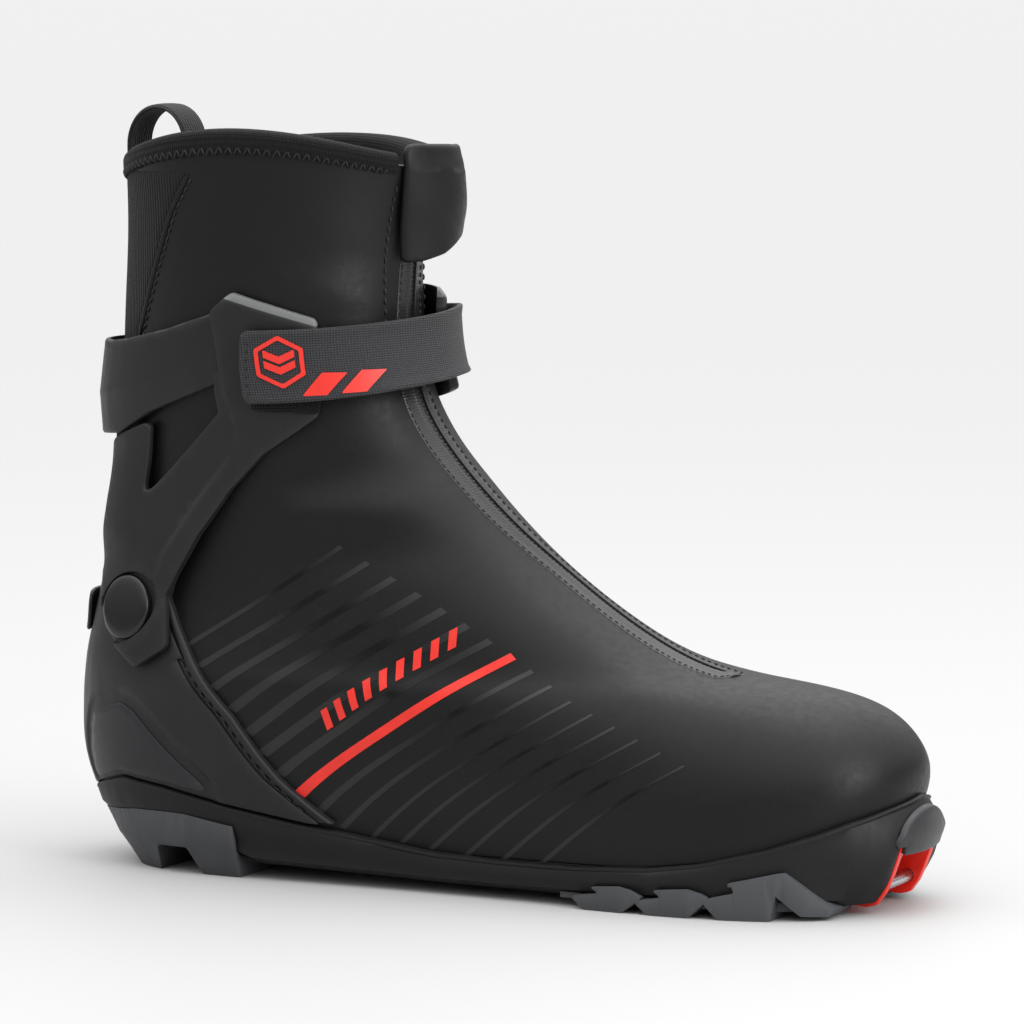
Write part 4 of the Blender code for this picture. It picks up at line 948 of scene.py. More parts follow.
INSERT_HALF, INSERT_TOP = 15.8, 22.0
RECESS_GAP = 0.1
ARCH_HALF, ARCH_TALL, ARCH_THICK = 16.4, 8.6, 1.9
ARCH_FOOT, ARCH_LOW_EDGE = 25.2, 22.8
ARCH_DROP, ARCH_PROUD = 3.5, 0.9  # a plate at the toe ends up lower than drawn; how far it stands out
NOSE = ((3.4, 137.0), (6.6, 140.2), (11.0, 143.0), (16.5, 145.4), (20.0, 146.6), (24.6, 148.0), (30.0, 146.3),
        (35.0, 145.0))  # height, and how far forward the outsole stands there
NOSE_TURN = (150.0, 172.0)  # degrees round the last: the swelling starts, and is full
# Side view of the front of the insert's cheeks, from the ground up
INSERT_FRONT = ((132.0, 2.0), (135.2, 2.8), (138.0, 6.6), (140.0, 11.0), (142.0, 16.5), (143.8, 22.0))


def swollen(ring, angles, grow=0.0):
    """The ring with its toe end moved out or in, so that its tip stands where NOSE says."""
    tip = ring[np.argmax(ring[:, 0])]
    push = (table(NOSE, tip[2]) + grow - tip[0]) * smooth_step(np.degrees(np.abs(angles)), *NOSE_TURN)
    return ring + flat_normal(angles) * push[:, None]


def sole_rings(grow=0.0, lip=False):
    """Outer rings of the outsole, from its underside to its top edge."""
    angles = ring_angles()
    tops = sole_line(angles)
    levels = level_at(angles, tops)
    foot = sole_ring(-3.5 + grow, lambda x: table(UNDERSIDE, x) - grow, taper=8.0)
    low = sole_ring(1.6 + grow, lambda x: table(UNDERSIDE, x) + 2.4 - grow * 0.5, taper=5.0)
    foot, low = swollen(foot, angles, grow), swollen(low, angles, grow)
    out = flat_normal(angles)
    wall = []
    for share, belly in ((0.3, 0.45), (0.55, 0.6), (0.8, 0.35)):
        z = low[:, 2] + (tops - low[:, 2]) * share
        edge = surface(angles, level_at(angles, z)) + out * (SOLE_WALL + belly + grow)
        if share < 0.5:
            edge = low * (1 - share / 0.55) + edge * (share / 0.55)
        edge[:, 2] = z
        wall.append(swollen(edge, angles, grow))
    if lip:
        foot_in = sole_ring(-2.6, lambda x: table(UNDERSIDE, x) + 0.25, taper=7.6)
        foot_in = swollen(foot_in, angles, 0.9)
        slim = 1.2 * smooth_step(np.degrees(np.abs(angles)), *NOSE_TURN)
        under = off_last(angles, level_at(angles, tops - 1.2), SOLE_WALL - slim)
        swell = off_last(angles, level_at(angles, tops - 0.7), SOLE_WALL + 0.15 - slim)
        top = off_last(angles, level_at(angles, tops - 0.2), SOLE_WALL - slim)
        rim = off_last(angles, levels, SOLE_WALL - 0.6 - slim)
        return [foot, foot_in, low, *wall, under, swell, top, rim], levels
    return [foot, low, *wall, off_last(angles, levels, SOLE_WALL + grow)], levels


def outsole_cutter():
    rings, _ = sole_rings(grow=GAP)
    return make_piece("sole_cutter", *stack(rings), "rubber")


def make_outsole():
    rings, levels = sole_rings(lip=True)
    angles = ring_angles()
    low = foot_level(angles)
    inner = [off_last(angles, low + (levels - low) * share, wall)
             for share, wall in ((1.0, GAP + 0.6), (0.985, GAP), (0.66, 0.7), (0.33, 0.8), (0.0, 0.5))]
    outsole = make_piece("outsole_shell", *stack([*rings, *inner]), "rubber", sharp=38)
    half = INSERT_HALF + RECESS_GAP
    recess = box_mesh((RECESS_BACK_X, -half, -5), (170, half, INSERT_TOP + RECESS_GAP))
    carve(outsole, make_piece("recess", *recess, "rubber"))
    ahead = [(x - 0.3, z) for x, z in INSERT_FRONT] + [(170.0, INSERT_TOP), (170.0, -6.0), (131.7, -6.0)]
    carve(outsole, make_piece("cut", *prism_mesh(ahead, -60, 60), "rubber"))
    for side in (-1, 1):
        groove = box_mesh((-60, side * 11.5 - 3, -5), (RECESS_BACK_X + 3, side * 11.5 + 3, 6.2))
        carve(outsole, make_piece("groove", *groove, "rubber"))
    outsole.data.shade_smooth()
    outsole.data.set_sharp_from_angle(angle=math.radians(38))
    finish_piece(outsole, "shell", "sole_rubber", "outsole")


# Side views of one side's forefoot lugs, from the front back
LUGS = (
    ((119.5, 1.6), (127.0, 1.2), (128.0, 3.4), (115.2, 15.2), (112.8, 14.9), (98.5, 11.6), (98.5, 10.4),
     (108.4, 11.6), (111.6, 9.0)),
    ((95.2, 0.0), (111.0, 0.0), (113.1, 10.1), (110.5, 11.9), (99.1, 11.4), (100.6, 8.6), (93.0, 6.8),
     (90.2, 5.4)),
    ((72.0, 0.0), (85.5, 0.0), (92.5, 6.3), (89.7, 7.8), (85.4, 9.0), (73.6, 8.0), (77.0, 5.8), (67.0, 4.2)),
    ((50.0, 0.0), (63.0, 0.0), (70.5, 5.4), (66.0, 7.4), (62.0, 8.2), (52.0, 7.4), (55.5, 5.6), (45.0, 4.0)),
)


def make_forefoot_tread(side, name, cad_node):
    """Grey lugs of one side on a common web, wrapped up round the edge of the outsole."""
    angles = np.radians(np.linspace(107, 152, 40)) * side
    edge = surface(angles, 0.25)
    inner_y = -side * 16.5
    low = [(x, y, 2.6) for x, y, _ in edge] + [(x, inner_y, 2.6) for x in edge[::-1, 0]]
    high = [(x, y, 6.2) for x, y, _ in low]
    tread = make_piece(name, np.array(low + high), prism_faces(len(low)), "tread")
    for outline in LUGS:
        lug = prism_mesh(rounded(outline, 0.9, 3), *sorted((inner_y, -side * 60)))
        carve(tread, make_piece("lug", *lug, "tread"), "UNION")
    limit = stack([sole_ring(3.6, lambda x: 0 * x - 4.0), sole_ring(4.4, lambda x: 0 * x + 20.0)])
    carve(tread, make_piece("limit", *limit, "tread"), "INTERSECT")
    carve(tread, outsole_cutter())
    soften(tread, 0.5)
    finish_piece(tread, "shell", "tread", cad_node)


def make_heel_tread():
    """Grey heel block: a sloped cup round the outsole's heel, on two pairs of lugs."""
    top_line = ((-140, 20.0), (-118, 23.6), (-75, 17.0))
    rings = [
        sole_ring(-0.5, lambda x: 0 * x, taper=14.0),
        sole_ring(3.6, lambda x: 0 * x + 10.0, taper=7.0),
        sole_ring(4.6, lambda x: table(top_line, x)),
    ]
    heel = make_piece("heel_tread_block", *stack(rings), "tread")
    carve(heel, outsole_cutter())
    notch = ((-107.5, -3), (-88.0, -3), (-94.0, 8.8), (-106.0, 8.8))
    front_cut = ((-79.0, -10.0), (-75.5, -2.0), (-75.5, 12.0), (-78.5, 60.0), (200.0, 60.0), (200.0, -10.0))
    for outline in (notch, front_cut):
        carve(heel, make_piece("cut", *prism_mesh(rounded(outline, 1.6, 4), -80, 80), "tread"))
    carve(heel, make_piece("cut", *box_mesh((-140, -6, -5), (-70, 6, 6.5)), "tread"))
    soften(heel, 0.6)
    finish_piece(heel, "shell", "tread", "heel_tread")


def make_toe_unit():
    """The red box in the recess, open to the front and to the ground, and its steel bar."""
    side_view = ((119.4, 3.4), *INSERT_FRONT, (119.4, INSERT_TOP))
    mesh = prism_mesh(rounded(side_view, 1.2, 5), -INSERT_HALF, INSERT_HALF)
    insert = make_piece("binding_jaw", *mesh, "red")
    half = ((12.8, -4.0), (12.8, 17.0), (11.4, 19.4))
    opening = rounded([(-12.8, -4.0), *half, (-11.4, 19.4), (-12.8, 17.0)], 1.5, 4)
    carve(insert, make_piece("cut", *prism_mesh(opening, 121.6, 160.0, axis=0), "red"))
    bore = TOE_BAR_RADIUS + 0.1
    mesh = turned(((bore, 0.0), (bore, 40.0)), (TOE_BAR_X, -20, TOE_BAR_Z), (0, 1, 0))
    carve(insert, make_piece("cut", *mesh, "red"))
    soften(insert, 0.5)
    finish_piece(insert, "shell", "red_plastic", "binding_insert")
    length, tip, radius = 28.2, 0.35, TOE_BAR_RADIUS
    profile = ((radius - tip, 0.0), (radius, tip), (radius, length - tip), (radius - tip, length))
    bar = turned(profile, (TOE_BAR_X, -length / 2, TOE_BAR_Z), (0, 1, 0))
    add_piece("toe_bar_pin", bar, "steel", "shell", "steel", "toe_bar")


def arch_rise(z):
    """Distance from the last to the arch's outer face, which stands proud of the outsole's nose."""
    return table(NOSE, z - ARCH_DROP) - front(0 * z, z, 0.0)[..., 0] + ARCH_PROUD


def make_toe_arch():
    """The grey arch on the nose, over the recess."""
    turns = np.linspace(0.1, math.pi - 0.1, 25)
    outline = [(ARCH_HALF * math.cos(turn), ARCH_FOOT + ARCH_TALL * math.sin(turn)) for turn in turns]
    outline = [(ARCH_HALF, ARCH_FOOT), *outline, (-ARCH_HALF, ARCH_FOOT)]
    outline += [(-13.2, ARCH_FOOT), (-12.6, ARCH_LOW_EDGE), (12.6, ARCH_LOW_EDGE), (13.2, ARCH_FOOT)]
    mesh = plate_mesh(outline, lambda w, z: arch_rise(z) - ARCH_THICK, lambda w, z: arch_rise(z),
                      step=1.8, corner=0.6, edge=0.5, place=front)
    add_piece("toe_arch", mesh, "arch", "shell", "tread", "toe_guard")


# ---------------------------------------------------------------- upper

def crease(points, start, end, width, height):
    """A soft ridge, or hollow, along the line between two points of the side view."""
    x, z = points[..., 0], points[..., 2]
    (x0, z0), (x1, z1) = start, end
    length = math.hypot(x1 - x0, z1 - z0)
    along = ((x - x0) * (x1 - x0) + (z - z0) * (z1 - z0)) / length
    across = (-(x - x0) * (z1 - z0) + (z - z0) * (x1 - x0)) / length
    reach = smooth_step(along, -8.0, 12.0) * (1 - smooth_step(along, length - 12.0, length + 8.0))
    return height * reach * np.exp(-(across / width) ** 2)


# Ends of the upper's soft creases in the side view, their width, and their height or depth
CREASES = (
    ((-62.0, 117.0), (-12.0, 121.0), 6.0, 1.0), ((-66.0, 129.0), (-18.0, 134.0), 8.0, -1.1),
    ((-52.0, 104.0), (-2.0, 108.0), 7.0, -0.6), ((-70.0, 196.0), (-34.0, 184.0), 4.0, 0.5),
    ((-66.0, 205.0), (-30.0, 196.0), 6.0, -0.5), ((20.0, 55.0), (80.0, 60.0), 14.0, 0.5),
)


def wrinkles(points):
    """Height of the upper's soft creases at points, the same on both sides."""
    folds = sum(crease(points, *row) for row in CREASES) * smooth_step(np.abs(points[..., 1]), 6.0, 20.0)
    x, y, z = points[..., 0], points[..., 1], points[..., 2]
    achilles = 2.4 * np.exp(-((z - 138.0) / 15.0) ** 2) * (1 - smooth_step(np.abs(y), 12.0, 28.0))
    return folds + achilles * (x < -90.0)


def rim_level(angles, level=COLLAR):
    """Level of the collar's rim: it is lower on the medial side."""
    return level - 0.14 * np.sin(angles) ** 2 * (np.asarray(angles) < 0)


def upper_place(u, z, off):
    """As skin, on the creased upper."""
    base = skin(u, z, 0.0)
    return skin(u, z, np.asarray(off) + wrinkles(base))


def upper_instep(w, length, off):
    base = instep(w, length, 0.0)
    return instep(w, length, np.asarray(off) + wrinkles(base))


def make_upper():
    angles = ring_angles(240)
    bottom = foot_level(angles) + 0.02
    outer, inner = [], []
    for share in np.linspace(0, 1, 170):
        levels = bottom + (rim_level(angles, 12.96) - bottom) * share
        high = wrinkles(surface(angles, levels)) * smooth_step(share, 0.05, 0.2)
        outer.append(off_last(angles, levels, high))
        inner.append(off_last(angles, levels, high - UPPER_SKIN))
    points = np.concatenate([*outer, *reversed(inner)])
    faces = grid_faces(len(outer) * 2, len(angles), closed=True, wrap=True)
    upper = make_piece("upper", points, faces, "upper")
    finish_piece(upper, "bend", "coated_fabric", "upper_vamp", "flex_zone", "upper_shaft_lateral",
                 "upper_shaft_medial")


COUNTER_FRONT = ((118.4, 18.4), (105.2, 33.7), (90.1, 53.7), (73.3, 71.5), (63.3, 82.1), (57.0, 89.5),
                 (57.0, 96.0))  # arc length and height of the heel counter's front edge
STRIPE_COUNT, RED_STRIPE = 16, 7
# Number of a stripe, and arc length and height of its upper end
STRIPE_ENDS = ((0, 4, 7, 10, 15), (113.2, 153.0, 181.4, 205.8, 246.7), (108.2, 89.6, 76.0, 63.0, 46.2))
STRIPE_SLOPES = ((0, 37.5), (4, 36.0), (8, 32.2), (12, 29.2), (15, 28.8))  # degrees


def stripe_line(number):
    """Start and end, in arc length and height, of one of the slanted lines on the side."""
    slope = math.radians(table(STRIPE_SLOPES, number))
    way = np.array([math.cos(slope), math.sin(slope)])
    end = np.array([np.interp(number, STRIPE_ENDS[0], row) for row in STRIPE_ENDS[1:]])
    for reach in np.arange(30.0, 110.0, 0.5):
        u, z = end - way * reach
        if u < u_at(COUNTER_FRONT, z) + 0.5 or z < table(SOLE_LINE, u) - 0.6:
            break
    return end - way * reach, end


def band_mesh(start, end, width, slant=0.0, off=0.12, place=upper_place):
    """A thin printed band from start to end in the flat pattern, its ends cut on a slant."""
    start, end = np.array(start, float), np.array(end, float)
    way = (end - start) / np.linalg.norm(end - start)
    side = np.array([-way[1], way[0]])
    parts = max(2, round(float(np.linalg.norm(end - start)) / 1.6))
    rows, shares = [], []
    for k in range(parts + 1):
        middle = start + (end - start) * k / parts
        wide = width(k / parts) if callable(width) else width
        rows += [middle + side * wide * s - way * wide * s * slant for s in (-0.5, 0.0, 0.5)]
        shares += [(k / parts, s) for s in (0.0, 0.5, 1.0)]
    flat = np.array(rows)
    outer, inner = place(flat[:, 0], flat[:, 1], off), place(flat[:, 0], flat[:, 1], -0.25)
    points, faces = thick(outer, inner, grid_faces(parts + 1, 3))
    return points, faces, np.concatenate([shares, shares])


def make_stripes():
    """Printed lines that run up from the counter and the sole towards the instep, on both sides."""
    stripes, reds = [], []
    for mirror in (1, -1):
        def place(u, z, off, mirror=mirror):
            return upper_place(np.asarray(u) * mirror, z, off)
        for number in range(STRIPE_COUNT):
            start, end = stripe_line(number)
            if number == RED_STRIPE:
                reds.append(band_mesh(start, end, 3.0, slant=0.4, off=0.2, place=place))
                continue
            t = number / (STRIPE_COUNT - 1.0)
            widest = 1.1 + 2.2 * math.sin(math.pi * min(t * 1.25 + 0.15, 1.0)) ** 1.5

            def width(share, widest=widest, t=t):
                return widest * (1 - (0.15 + 0.6 * max(t - 0.6, 0.0)) * share ** 1.5)
            stripes.append(band_mesh(start, end, width, slant=0.5, off=0.08, place=place))
        reds += dash_row(place)
    add_piece("upper_stripes", joined_parts(stripes), "stripe", "bend", "coated_fabric", cloth=True)
    add_piece("upper_red_bars", joined_parts(reds), "film_red", "bend", "red_plastic")


DASHES = 9
DASH_ROW = ((124.5, 50.8), (160.6, 77.6))  # feet of the first and the last dash


def dash_row(place):
    """A plain row of slanted dashes over the red line."""
    low, high = np.array(DASH_ROW)
    way = (high - low) / np.linalg.norm(high - low)
    up = np.array([-way[1], way[0]])
    pitch = (high - low) / (DASHES - 1)
    row = []
    for k in range(DASHES):
        foot = low + pitch * k
        top = foot + up * 6.2 + way * 2.0
        row.append(band_mesh(foot, top, 2.5, slant=0.25, off=0.2, place=place))
    return row


# ---------------------------------------------------------------- zip

WELT_HALF, WELT_SLOT = 7.5, 1.3
ZIP_TOP = float(ZIP_ARC[-1]) - 1.0
# Where the closed zip runs: mm to the lateral side of the front line, along it from the toe end
ZIP_PATH = ((0, 4.5), (13, 3.0), (27, 1.2), (42, 0.4), (57, 0.0), (70, 0.6), (84, 2.8), (97, 4.5),
            (110, 5.4), (125, 5.7), (140, 5.4), (155, 3.6), (172, 1.4), (190, 0.2), (230, 0.0))


def zip_place(w, length, off):
    """Points off the creased upper, across from and along the zip's own path."""
    return upper_instep(np.asarray(w) + curve_through(ZIP_PATH, length), length, off)


def make_zip():
    """A glossy film round the closed zip, its row of teeth, and the stitching along both edges."""
    def height(w, _):
        near = np.abs(w)
        return 0.22 + 0.30 * smooth_step(-near, -3.3, -2.9) + 0.25 * smooth_step(-near, -2.4, -1.2)

    half, slot = WELT_HALF, WELT_SLOT
    outline = [(half, 0.0), (half, ZIP_TOP), (-half, ZIP_TOP), (-half, 0.0)]
    hole = [(slot * 0.6, 4.0), (slot, 7.0), (slot, ZIP_TOP - 3.0), (-slot, ZIP_TOP - 3.0), (-slot, 7.0),
            (-slot * 0.6, 4.0)]
    folds = [((side * 3.1, 3.0), (side * 3.1, ZIP_TOP - 2.0)) for side in (1, -1)]
    mesh = plate_mesh(outline, -0.4, height, step=1.7, corner=1.6, edge=0.35, holes=[resampled(hole, 3.0)],
                      creases=[(line, (-0.25, 0.25)) for line in folds], place=zip_place)
    add_piece("zip_welt", mesh, "zip_film", "bend", "webbing", "zipper_instep", "zipper_bend",
              "zipper_tape_lateral", "zipper_tape_medial", cloth=True)
    teeth = []
    for k, length in enumerate(np.arange(4.6, ZIP_TOP - 3.0, 1.5)):
        lean = 0.3 if k % 2 else -0.3
        w = np.array([lean - 0.9, lean + 0.9, lean + 0.9, lean - 0.9])
        along = length + np.array([-0.5, -0.5, 0.5, 0.5])
        base, top = zip_place(w, along, -0.9), zip_place(w * 0.8, along * 0.6 + length * 0.4, 0.15)
        teeth.append((np.concatenate([base, top]), prism_faces(4)))
    add_piece("zip_teeth", joined_parts(teeth), "chain", "bend", "shell_plastic", "zipper_chain",
              sharp=30)
    edge = half - 0.8
    line = [(edge, ZIP_TOP - 2.0), (edge, 1.0), (-edge, 1.0), (-edge, ZIP_TOP - 2.0)]
    stitches = stitches_mesh(line, zip_place, length=1.7, gap=0.7, radius=0.26, off=0.22)
    add_piece("zip_stitches", stitches, "thread", "bend", "lace")


def make_slider():
    """The zip's slider and its pull, under the flap."""
    for node_name, piece_name, body, round_by in (("zipper_slider", "slider_body", "slider", 0.9),
                                                  ("zipper_pull", "slider_pull", "pull", 0.35)):
        low, high = (np.array(corner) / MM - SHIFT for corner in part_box(node_name))
        if piece_name == "slider_body":
            outline = [(low[1], low[2]), (high[1], low[2]), (high[1] - 0.6, high[2]), (low[1] + 0.6, high[2])]
        else:
            middle = (low[1] + high[1]) / 2
            outline = [(middle - 1.5, low[2]), (middle + 1.5, low[2]), (high[1], low[2] + 3.5),
                       (middle + 1.2, high[2]), (middle - 1.2, high[2]), (low[1], low[2] + 3.5)]
        mesh = prism_mesh(rounded(outline, 1.2, 4), low[0], high[0], axis=0)
        thing = make_piece(piece_name, *mesh, "gloss")
        soften(thing, round_by)
        finish_piece(thing, body, "gloss_plastic", node_name)


# ---------------------------------------------------------------- inner boot, collar and its flap

QUILT_START, QUILT_LEVELS, QUILT_TURN = 9.6, 1.1, 0.8976  # a seam's level, and seams in levels and radians


def to_seam(value, pitch):
    """Distance of value to the nearest multiple of pitch."""
    return np.abs(value / pitch - np.round(value / pitch)) * pitch


def make_inner_boot():
    """The padded sock, one piece from toe to collar, quilted where it shows inside the shaft."""
    count = 128
    angles = ring_angles(count)
    outer, inner, marks = [], [], []
    for share in np.linspace(0, 1, 84):
        levels = 1.0 + share * (rim_level(angles, COLLAR - 0.14) - 1.0)
        instep_gap = smooth_step(np.abs(angles), 2.0, 2.6) * smooth_step(levels, 4.4, 5.4)
        instep_gap = instep_gap * (1 - smooth_step(levels, 7.4, 8.6)) * 3.2
        outer.append(off_last(angles, levels, LINER_OUT - instep_gap))
        inner.append(off_last(angles, levels, LINER_IN - instep_gap))
        marks.append(np.full(count, levels))
    floor_out = inner_ring(angles, 8.0, 3.4)
    floor_in = inner_ring(angles, 11.0, 5.6)
    rings = [floor_out, *outer, *reversed(inner), floor_in]
    points, faces = stack(rings)
    flat = np.stack([np.tile(angles * 45.0, len(rings)), points[:, 2]], -1)
    liner = make_piece("inner_boot", points, faces, "lining", flat=flat)
    level_of = np.concatenate([np.zeros(count), *marks, *reversed(marks), np.zeros(count)])
    angle_of = np.tile(angles, len(rings))
    on_inside = np.arange(len(points)) >= count * (1 + len(outer))
    seam_levels = to_seam(level_of - QUILT_START, QUILT_LEVELS) < 0.09
    seam_angles = to_seam(angle_of, QUILT_TURN) < 0.05
    held = ~on_inside | (level_of < 9.4) | (level_of > 12.6) | seam_levels | seam_angles
    inflate(liner, held, pressure=6.0, cap=1.6)
    finish_piece(liner, "bend", "lining", "inner_boot_foot", "inner_boot_shaft")


def inner_ring(angles, inset, rise):
    """A ring inset from the last's outline, rise mm above the outsole's floor."""
    ring = surface(angles, 0.15) - flat_normal(angles) * inset
    ring[:, 2] = table(FLOOR, ring[:, 0]) + rise
    return ring


COLLAR_RADIUS = 44.0  # arc length of a radian round the collar
COLLAR_SECTION = (
    (12.80, 0.0, 0.2), (12.80, 0.0, 0.8), (12.82, 0.0, 1.1), (12.92, 0.0, 1.45), (13.0, 0.8, 1.45),
    (13.0, 1.9, 1.1), (13.0, 2.7, 0.2), (13.0, 3.1, -1.4), (13.0, 3.2, -3.8), (13.0, 3.0, -6.0),
    (13.0, 2.3, -7.7), (13.0, 1.2, -8.7), (13.0, 0.0, -9.1), (12.8, 0.0, -9.2), (12.6, 0.0, -9.0),
    (12.5, 0.0, -8.5), (12.5, 0.0, -7.6), (13.0, 0.2, -7.5), (13.0, 0.3, -4.0), (13.0, 0.1, 0.2),
)  # level, height over it, and distance off the last, round the edging's section


def make_collar_edge():
    """Knit edging folded over the rim of the shaft and of the inner boot, open at the front."""
    turns = np.radians(np.linspace(-160, 158, 260))
    rings, flats = [], []
    for number, (level, rise, off) in enumerate(COLLAR_SECTION):
        levels = rim_level(turns, level)
        row = off_last(turns, levels, off)
        row[:, 2] = surface(turns, levels)[:, 2] + rise
        rings.append(row)
        flats.append(np.stack([turns * COLLAR_RADIUS, np.full(len(turns), number * 1.1)], -1))
    width = len(turns)
    faces = grid_faces(len(rings), width, wrap=True)
    faces += [tuple(range(0, len(rings) * width, width)), tuple(range(width - 1, len(rings) * width, width))]
    mesh = (np.concatenate(rings), faces, np.concatenate(flats))
    edge = add_piece("collar_edge", mesh, "edge_knit", "cuff", "knit", "collar_binding", cloth=True)

    def on_rim(along, down, off):
        angle = along / COLLAR_RADIUS
        rise = np.interp(down, (0.0, 1.6, 4.6), (1.45, 1.45, 0.35))
        return off_last(angle, rim_level(angle, 12.97 - down / 22.0), off + rise)

    first, last = (degrees * math.pi / 180 * COLLAR_RADIUS for degrees in (-156, 155))
    ends = np.arange(first, last, 1.35)
    rows = []
    for k, (start, end) in enumerate(zip(ends, ends[1:])):
        low, high = (4.3, 1.6) if k % 2 else (1.6, 4.3)
        rows.append(stitches_mesh([(start, low), (end, high)], on_rim, length=2.6, gap=0.2, radius=0.34,
                                  off=0.05))
    add_piece("collar_stitches", joined_parts(rows), "thread", "cuff", "lace")


SEAM = ((16.5, 109.0), (22.0, 130.0), (29.0, 152.0), (36.8, 174.7), (45.0, 194.5), (53.1, 212.4),
        (67.3, 233.0))  # arc length and height of the edge of the panel at the shaft's back


def seam_u(z):
    return u_at(SEAM, z)


def make_achilles():
    """Ribbed stretch panel down the back of the shaft, with the stitched edge of the shell cloth."""
    heights = np.linspace(104.0, 226.0, 30)
    half = np.stack([seam_u(heights), heights], -1)
    outline = np.concatenate([half, (half * (-1, 1))[::-1]])
    mesh = plate_mesh(outline, -0.4, 0.4, step=2.2, corner=0, edge=0.4, place=upper_place)
    panel = add_piece("achilles_knit", mesh, "knit", "cuff", "knit", "achilles_panel", cloth=True)
    beads, threads = [], []
    for side in (1, -1):
        line = [(side * (seam_u(z) + 0.9), z) for z in heights[2:]]
        beads.append(tube_mesh(line, upper_place, 0.9, 0.1, flatten=0.75))
        run = [(side * (seam_u(z) + 3.0), z) for z in heights[2:]]
        threads.append(stitches_mesh(run, upper_place, length=2.0, gap=1.1, radius=0.3, off=0.12))
        run = [(side * (float(around(side, z)) - 14.5), z) for z in np.linspace(170, 222, 30)]
        threads.append(stitches_mesh(run, upper_place, length=2.2, gap=1.1, radius=0.32, off=0.12))
    add_piece("shaft_seams", joined_parts(beads), "upper", "cuff", "coated_fabric")
    add_piece("shaft_stitches", joined_parts(threads), "thread", "cuff", "lace")


def make_pull_loop():
    """Ribbed webbing bent over the back of the collar, one leg outside and one inside."""
    centre_x, centre_z, radius = -120.1, 233.5, 10.2
    path = [(centre_x - radius, z) for z in np.linspace(222.0, 231.0, 6)]
    path += [(centre_x - radius * math.cos(t), centre_z + radius * 1.2 * math.sin(t))
             for t in np.linspace(0, math.pi, 40)]
    path += [(centre_x + radius - 1.0, 226.0), (centre_x + radius - 1.5, 221.0)]
    path = resampled(path, 0.8, closed=False)
    ahead = np.gradient(path, axis=0)
    out = np.stack([-ahead[:, 1], ahead[:, 0]], -1) / np.linalg.norm(ahead, axis=1, keepdims=True)
    arc = arc_along(path)
    across = np.array([-7.9, -7.6, -6.8, *np.linspace(-6.0, 6.0, 17), 6.8, 7.6, 7.9])
    lift = 0.75 * np.clip((7.9 - np.abs(across)) / 1.1, 0.1, 1.0) ** 0.5
    outer, inner, flat = [], [], []
    for k in range(len(path)):
        bow = 0.35 * math.sin(math.pi * k / len(path)) * (1 - (across / 8.0) ** 2)
        for sign, rows in ((1, outer), (-1, inner)):
            off = sign * lift + bow
            rows.append(np.stack([path[k, 0] + out[k, 0] * off, across, path[k, 1] + out[k, 1] * off], -1))
        flat.append(np.stack([across, np.full(len(across), arc[k])], -1))
    points, faces = thick(np.concatenate(outer), np.concatenate(inner), grid_faces(len(path), len(across)))
    mesh = (points, faces, np.concatenate([*flat, *flat]))
    loop = add_piece("heel_pull_loop", mesh, "webbing", "cuff", "webbing", "pull_loop", cloth=True,
                     sharp=60)


# The hood's distance off the last across the front line, and where its lateral edge is by height
FLAP_OFF = ((-37, 4.8), (-31, 6.8), (-24, 9.6), (-16, 11.4), (-10, 12.0), (-5, 11.4), (0, 9.4),
            (5, 6.4), (9.6, 3.2))
FLAP_EDGE = ((197, 9.6), (215, 12.1), (236, 15.2))


def flap_rise(w, z):
    """Distance of the hood's outer face off the surface: it leans in towards its top."""
    lean = 1 - 0.5 * smooth_step(z, 214.0, 240.0) * smooth_step(w, -37.0, -14.0)
    even = np.where(w > 0, w * FLAP_OFF[-1][0] / table(FLAP_EDGE, z), w)
    return curve_through(FLAP_OFF, even) * lean


def make_flap():
    """Padded hood over the top end of the zip, turned round its front edge."""
    low = ((-37, 210.0), (-16, 208.5), (-8, 205.0), (-2, 200.5), (4, 198.0), (9.6, 197.0))
    high = ((12.1, 215.0), (15.2, 235.5), (-4, 236.0), (-18, 235.5), (-30, 234.0), (-37, 230.0))
    outline = rounded((*low, *high), 5.0)
    mesh = plate_mesh(outline, lambda w, z: flap_rise(w, z) - 2.3, flap_rise, step=1.4, corner=0, edge=1.0,
                      place=front, under=True)
    flap = make_piece("collar_flap_pad", mesh[0], mesh[1], "upper", sharp=75)
    border = distance_to(mesh[2], np.array(outline))
    on_inside = np.arange(len(border)) >= len(border) // 2
    inflate(flap, on_inside | (border < 1.8), pressure=8.0, cap=0.9)
    finish_piece(flap, "flap", "coated_fabric", "collar_flap")


# ---------------------------------------------------------------- heel counter

TRIM_WIDTH = 3.4
INLAY = ((26.0, 28.4), (42.9, 32.6), (60.5, 30.6), (79.5, 27.0), (52.5, 52.0), (47.0, 54.6), (31.0, 50.0),
         (28.0, 38.0))
GROOVE_TOP = 70.0  # the stitched groove behind the counter's rim ends at this height
GROOVE_WIDTH = 2.8


def counter_edge(shift, top=100.0):
    return [(u - shift, z) for u, z in COUNTER_FRONT if z < top]


def counter_height(u, z):
    """The counter's outer face, with the pocket of its inlay."""
    flat = np.stack([np.abs(u), z], -1)
    pocket = np.array(rounded(INLAY, 5.0))
    depth = np.where(inside(flat, pocket), distance_to(flat, pocket), -distance_to(flat, pocket))
    return COUNTER_OUT - 0.5 * smooth_step(depth, -4.4, -3.8) + 0.25 * smooth_step(z, 60.0, 90.0)


def groove_line():
    """The middle of the groove, from its top end down to the sole."""
    back = TRIM_WIDTH + GROOVE_WIDTH / 2
    return [(u_at(COUNTER_FRONT, z) - back, z) for z in np.linspace(GROOVE_TOP, 20.5, 12)]


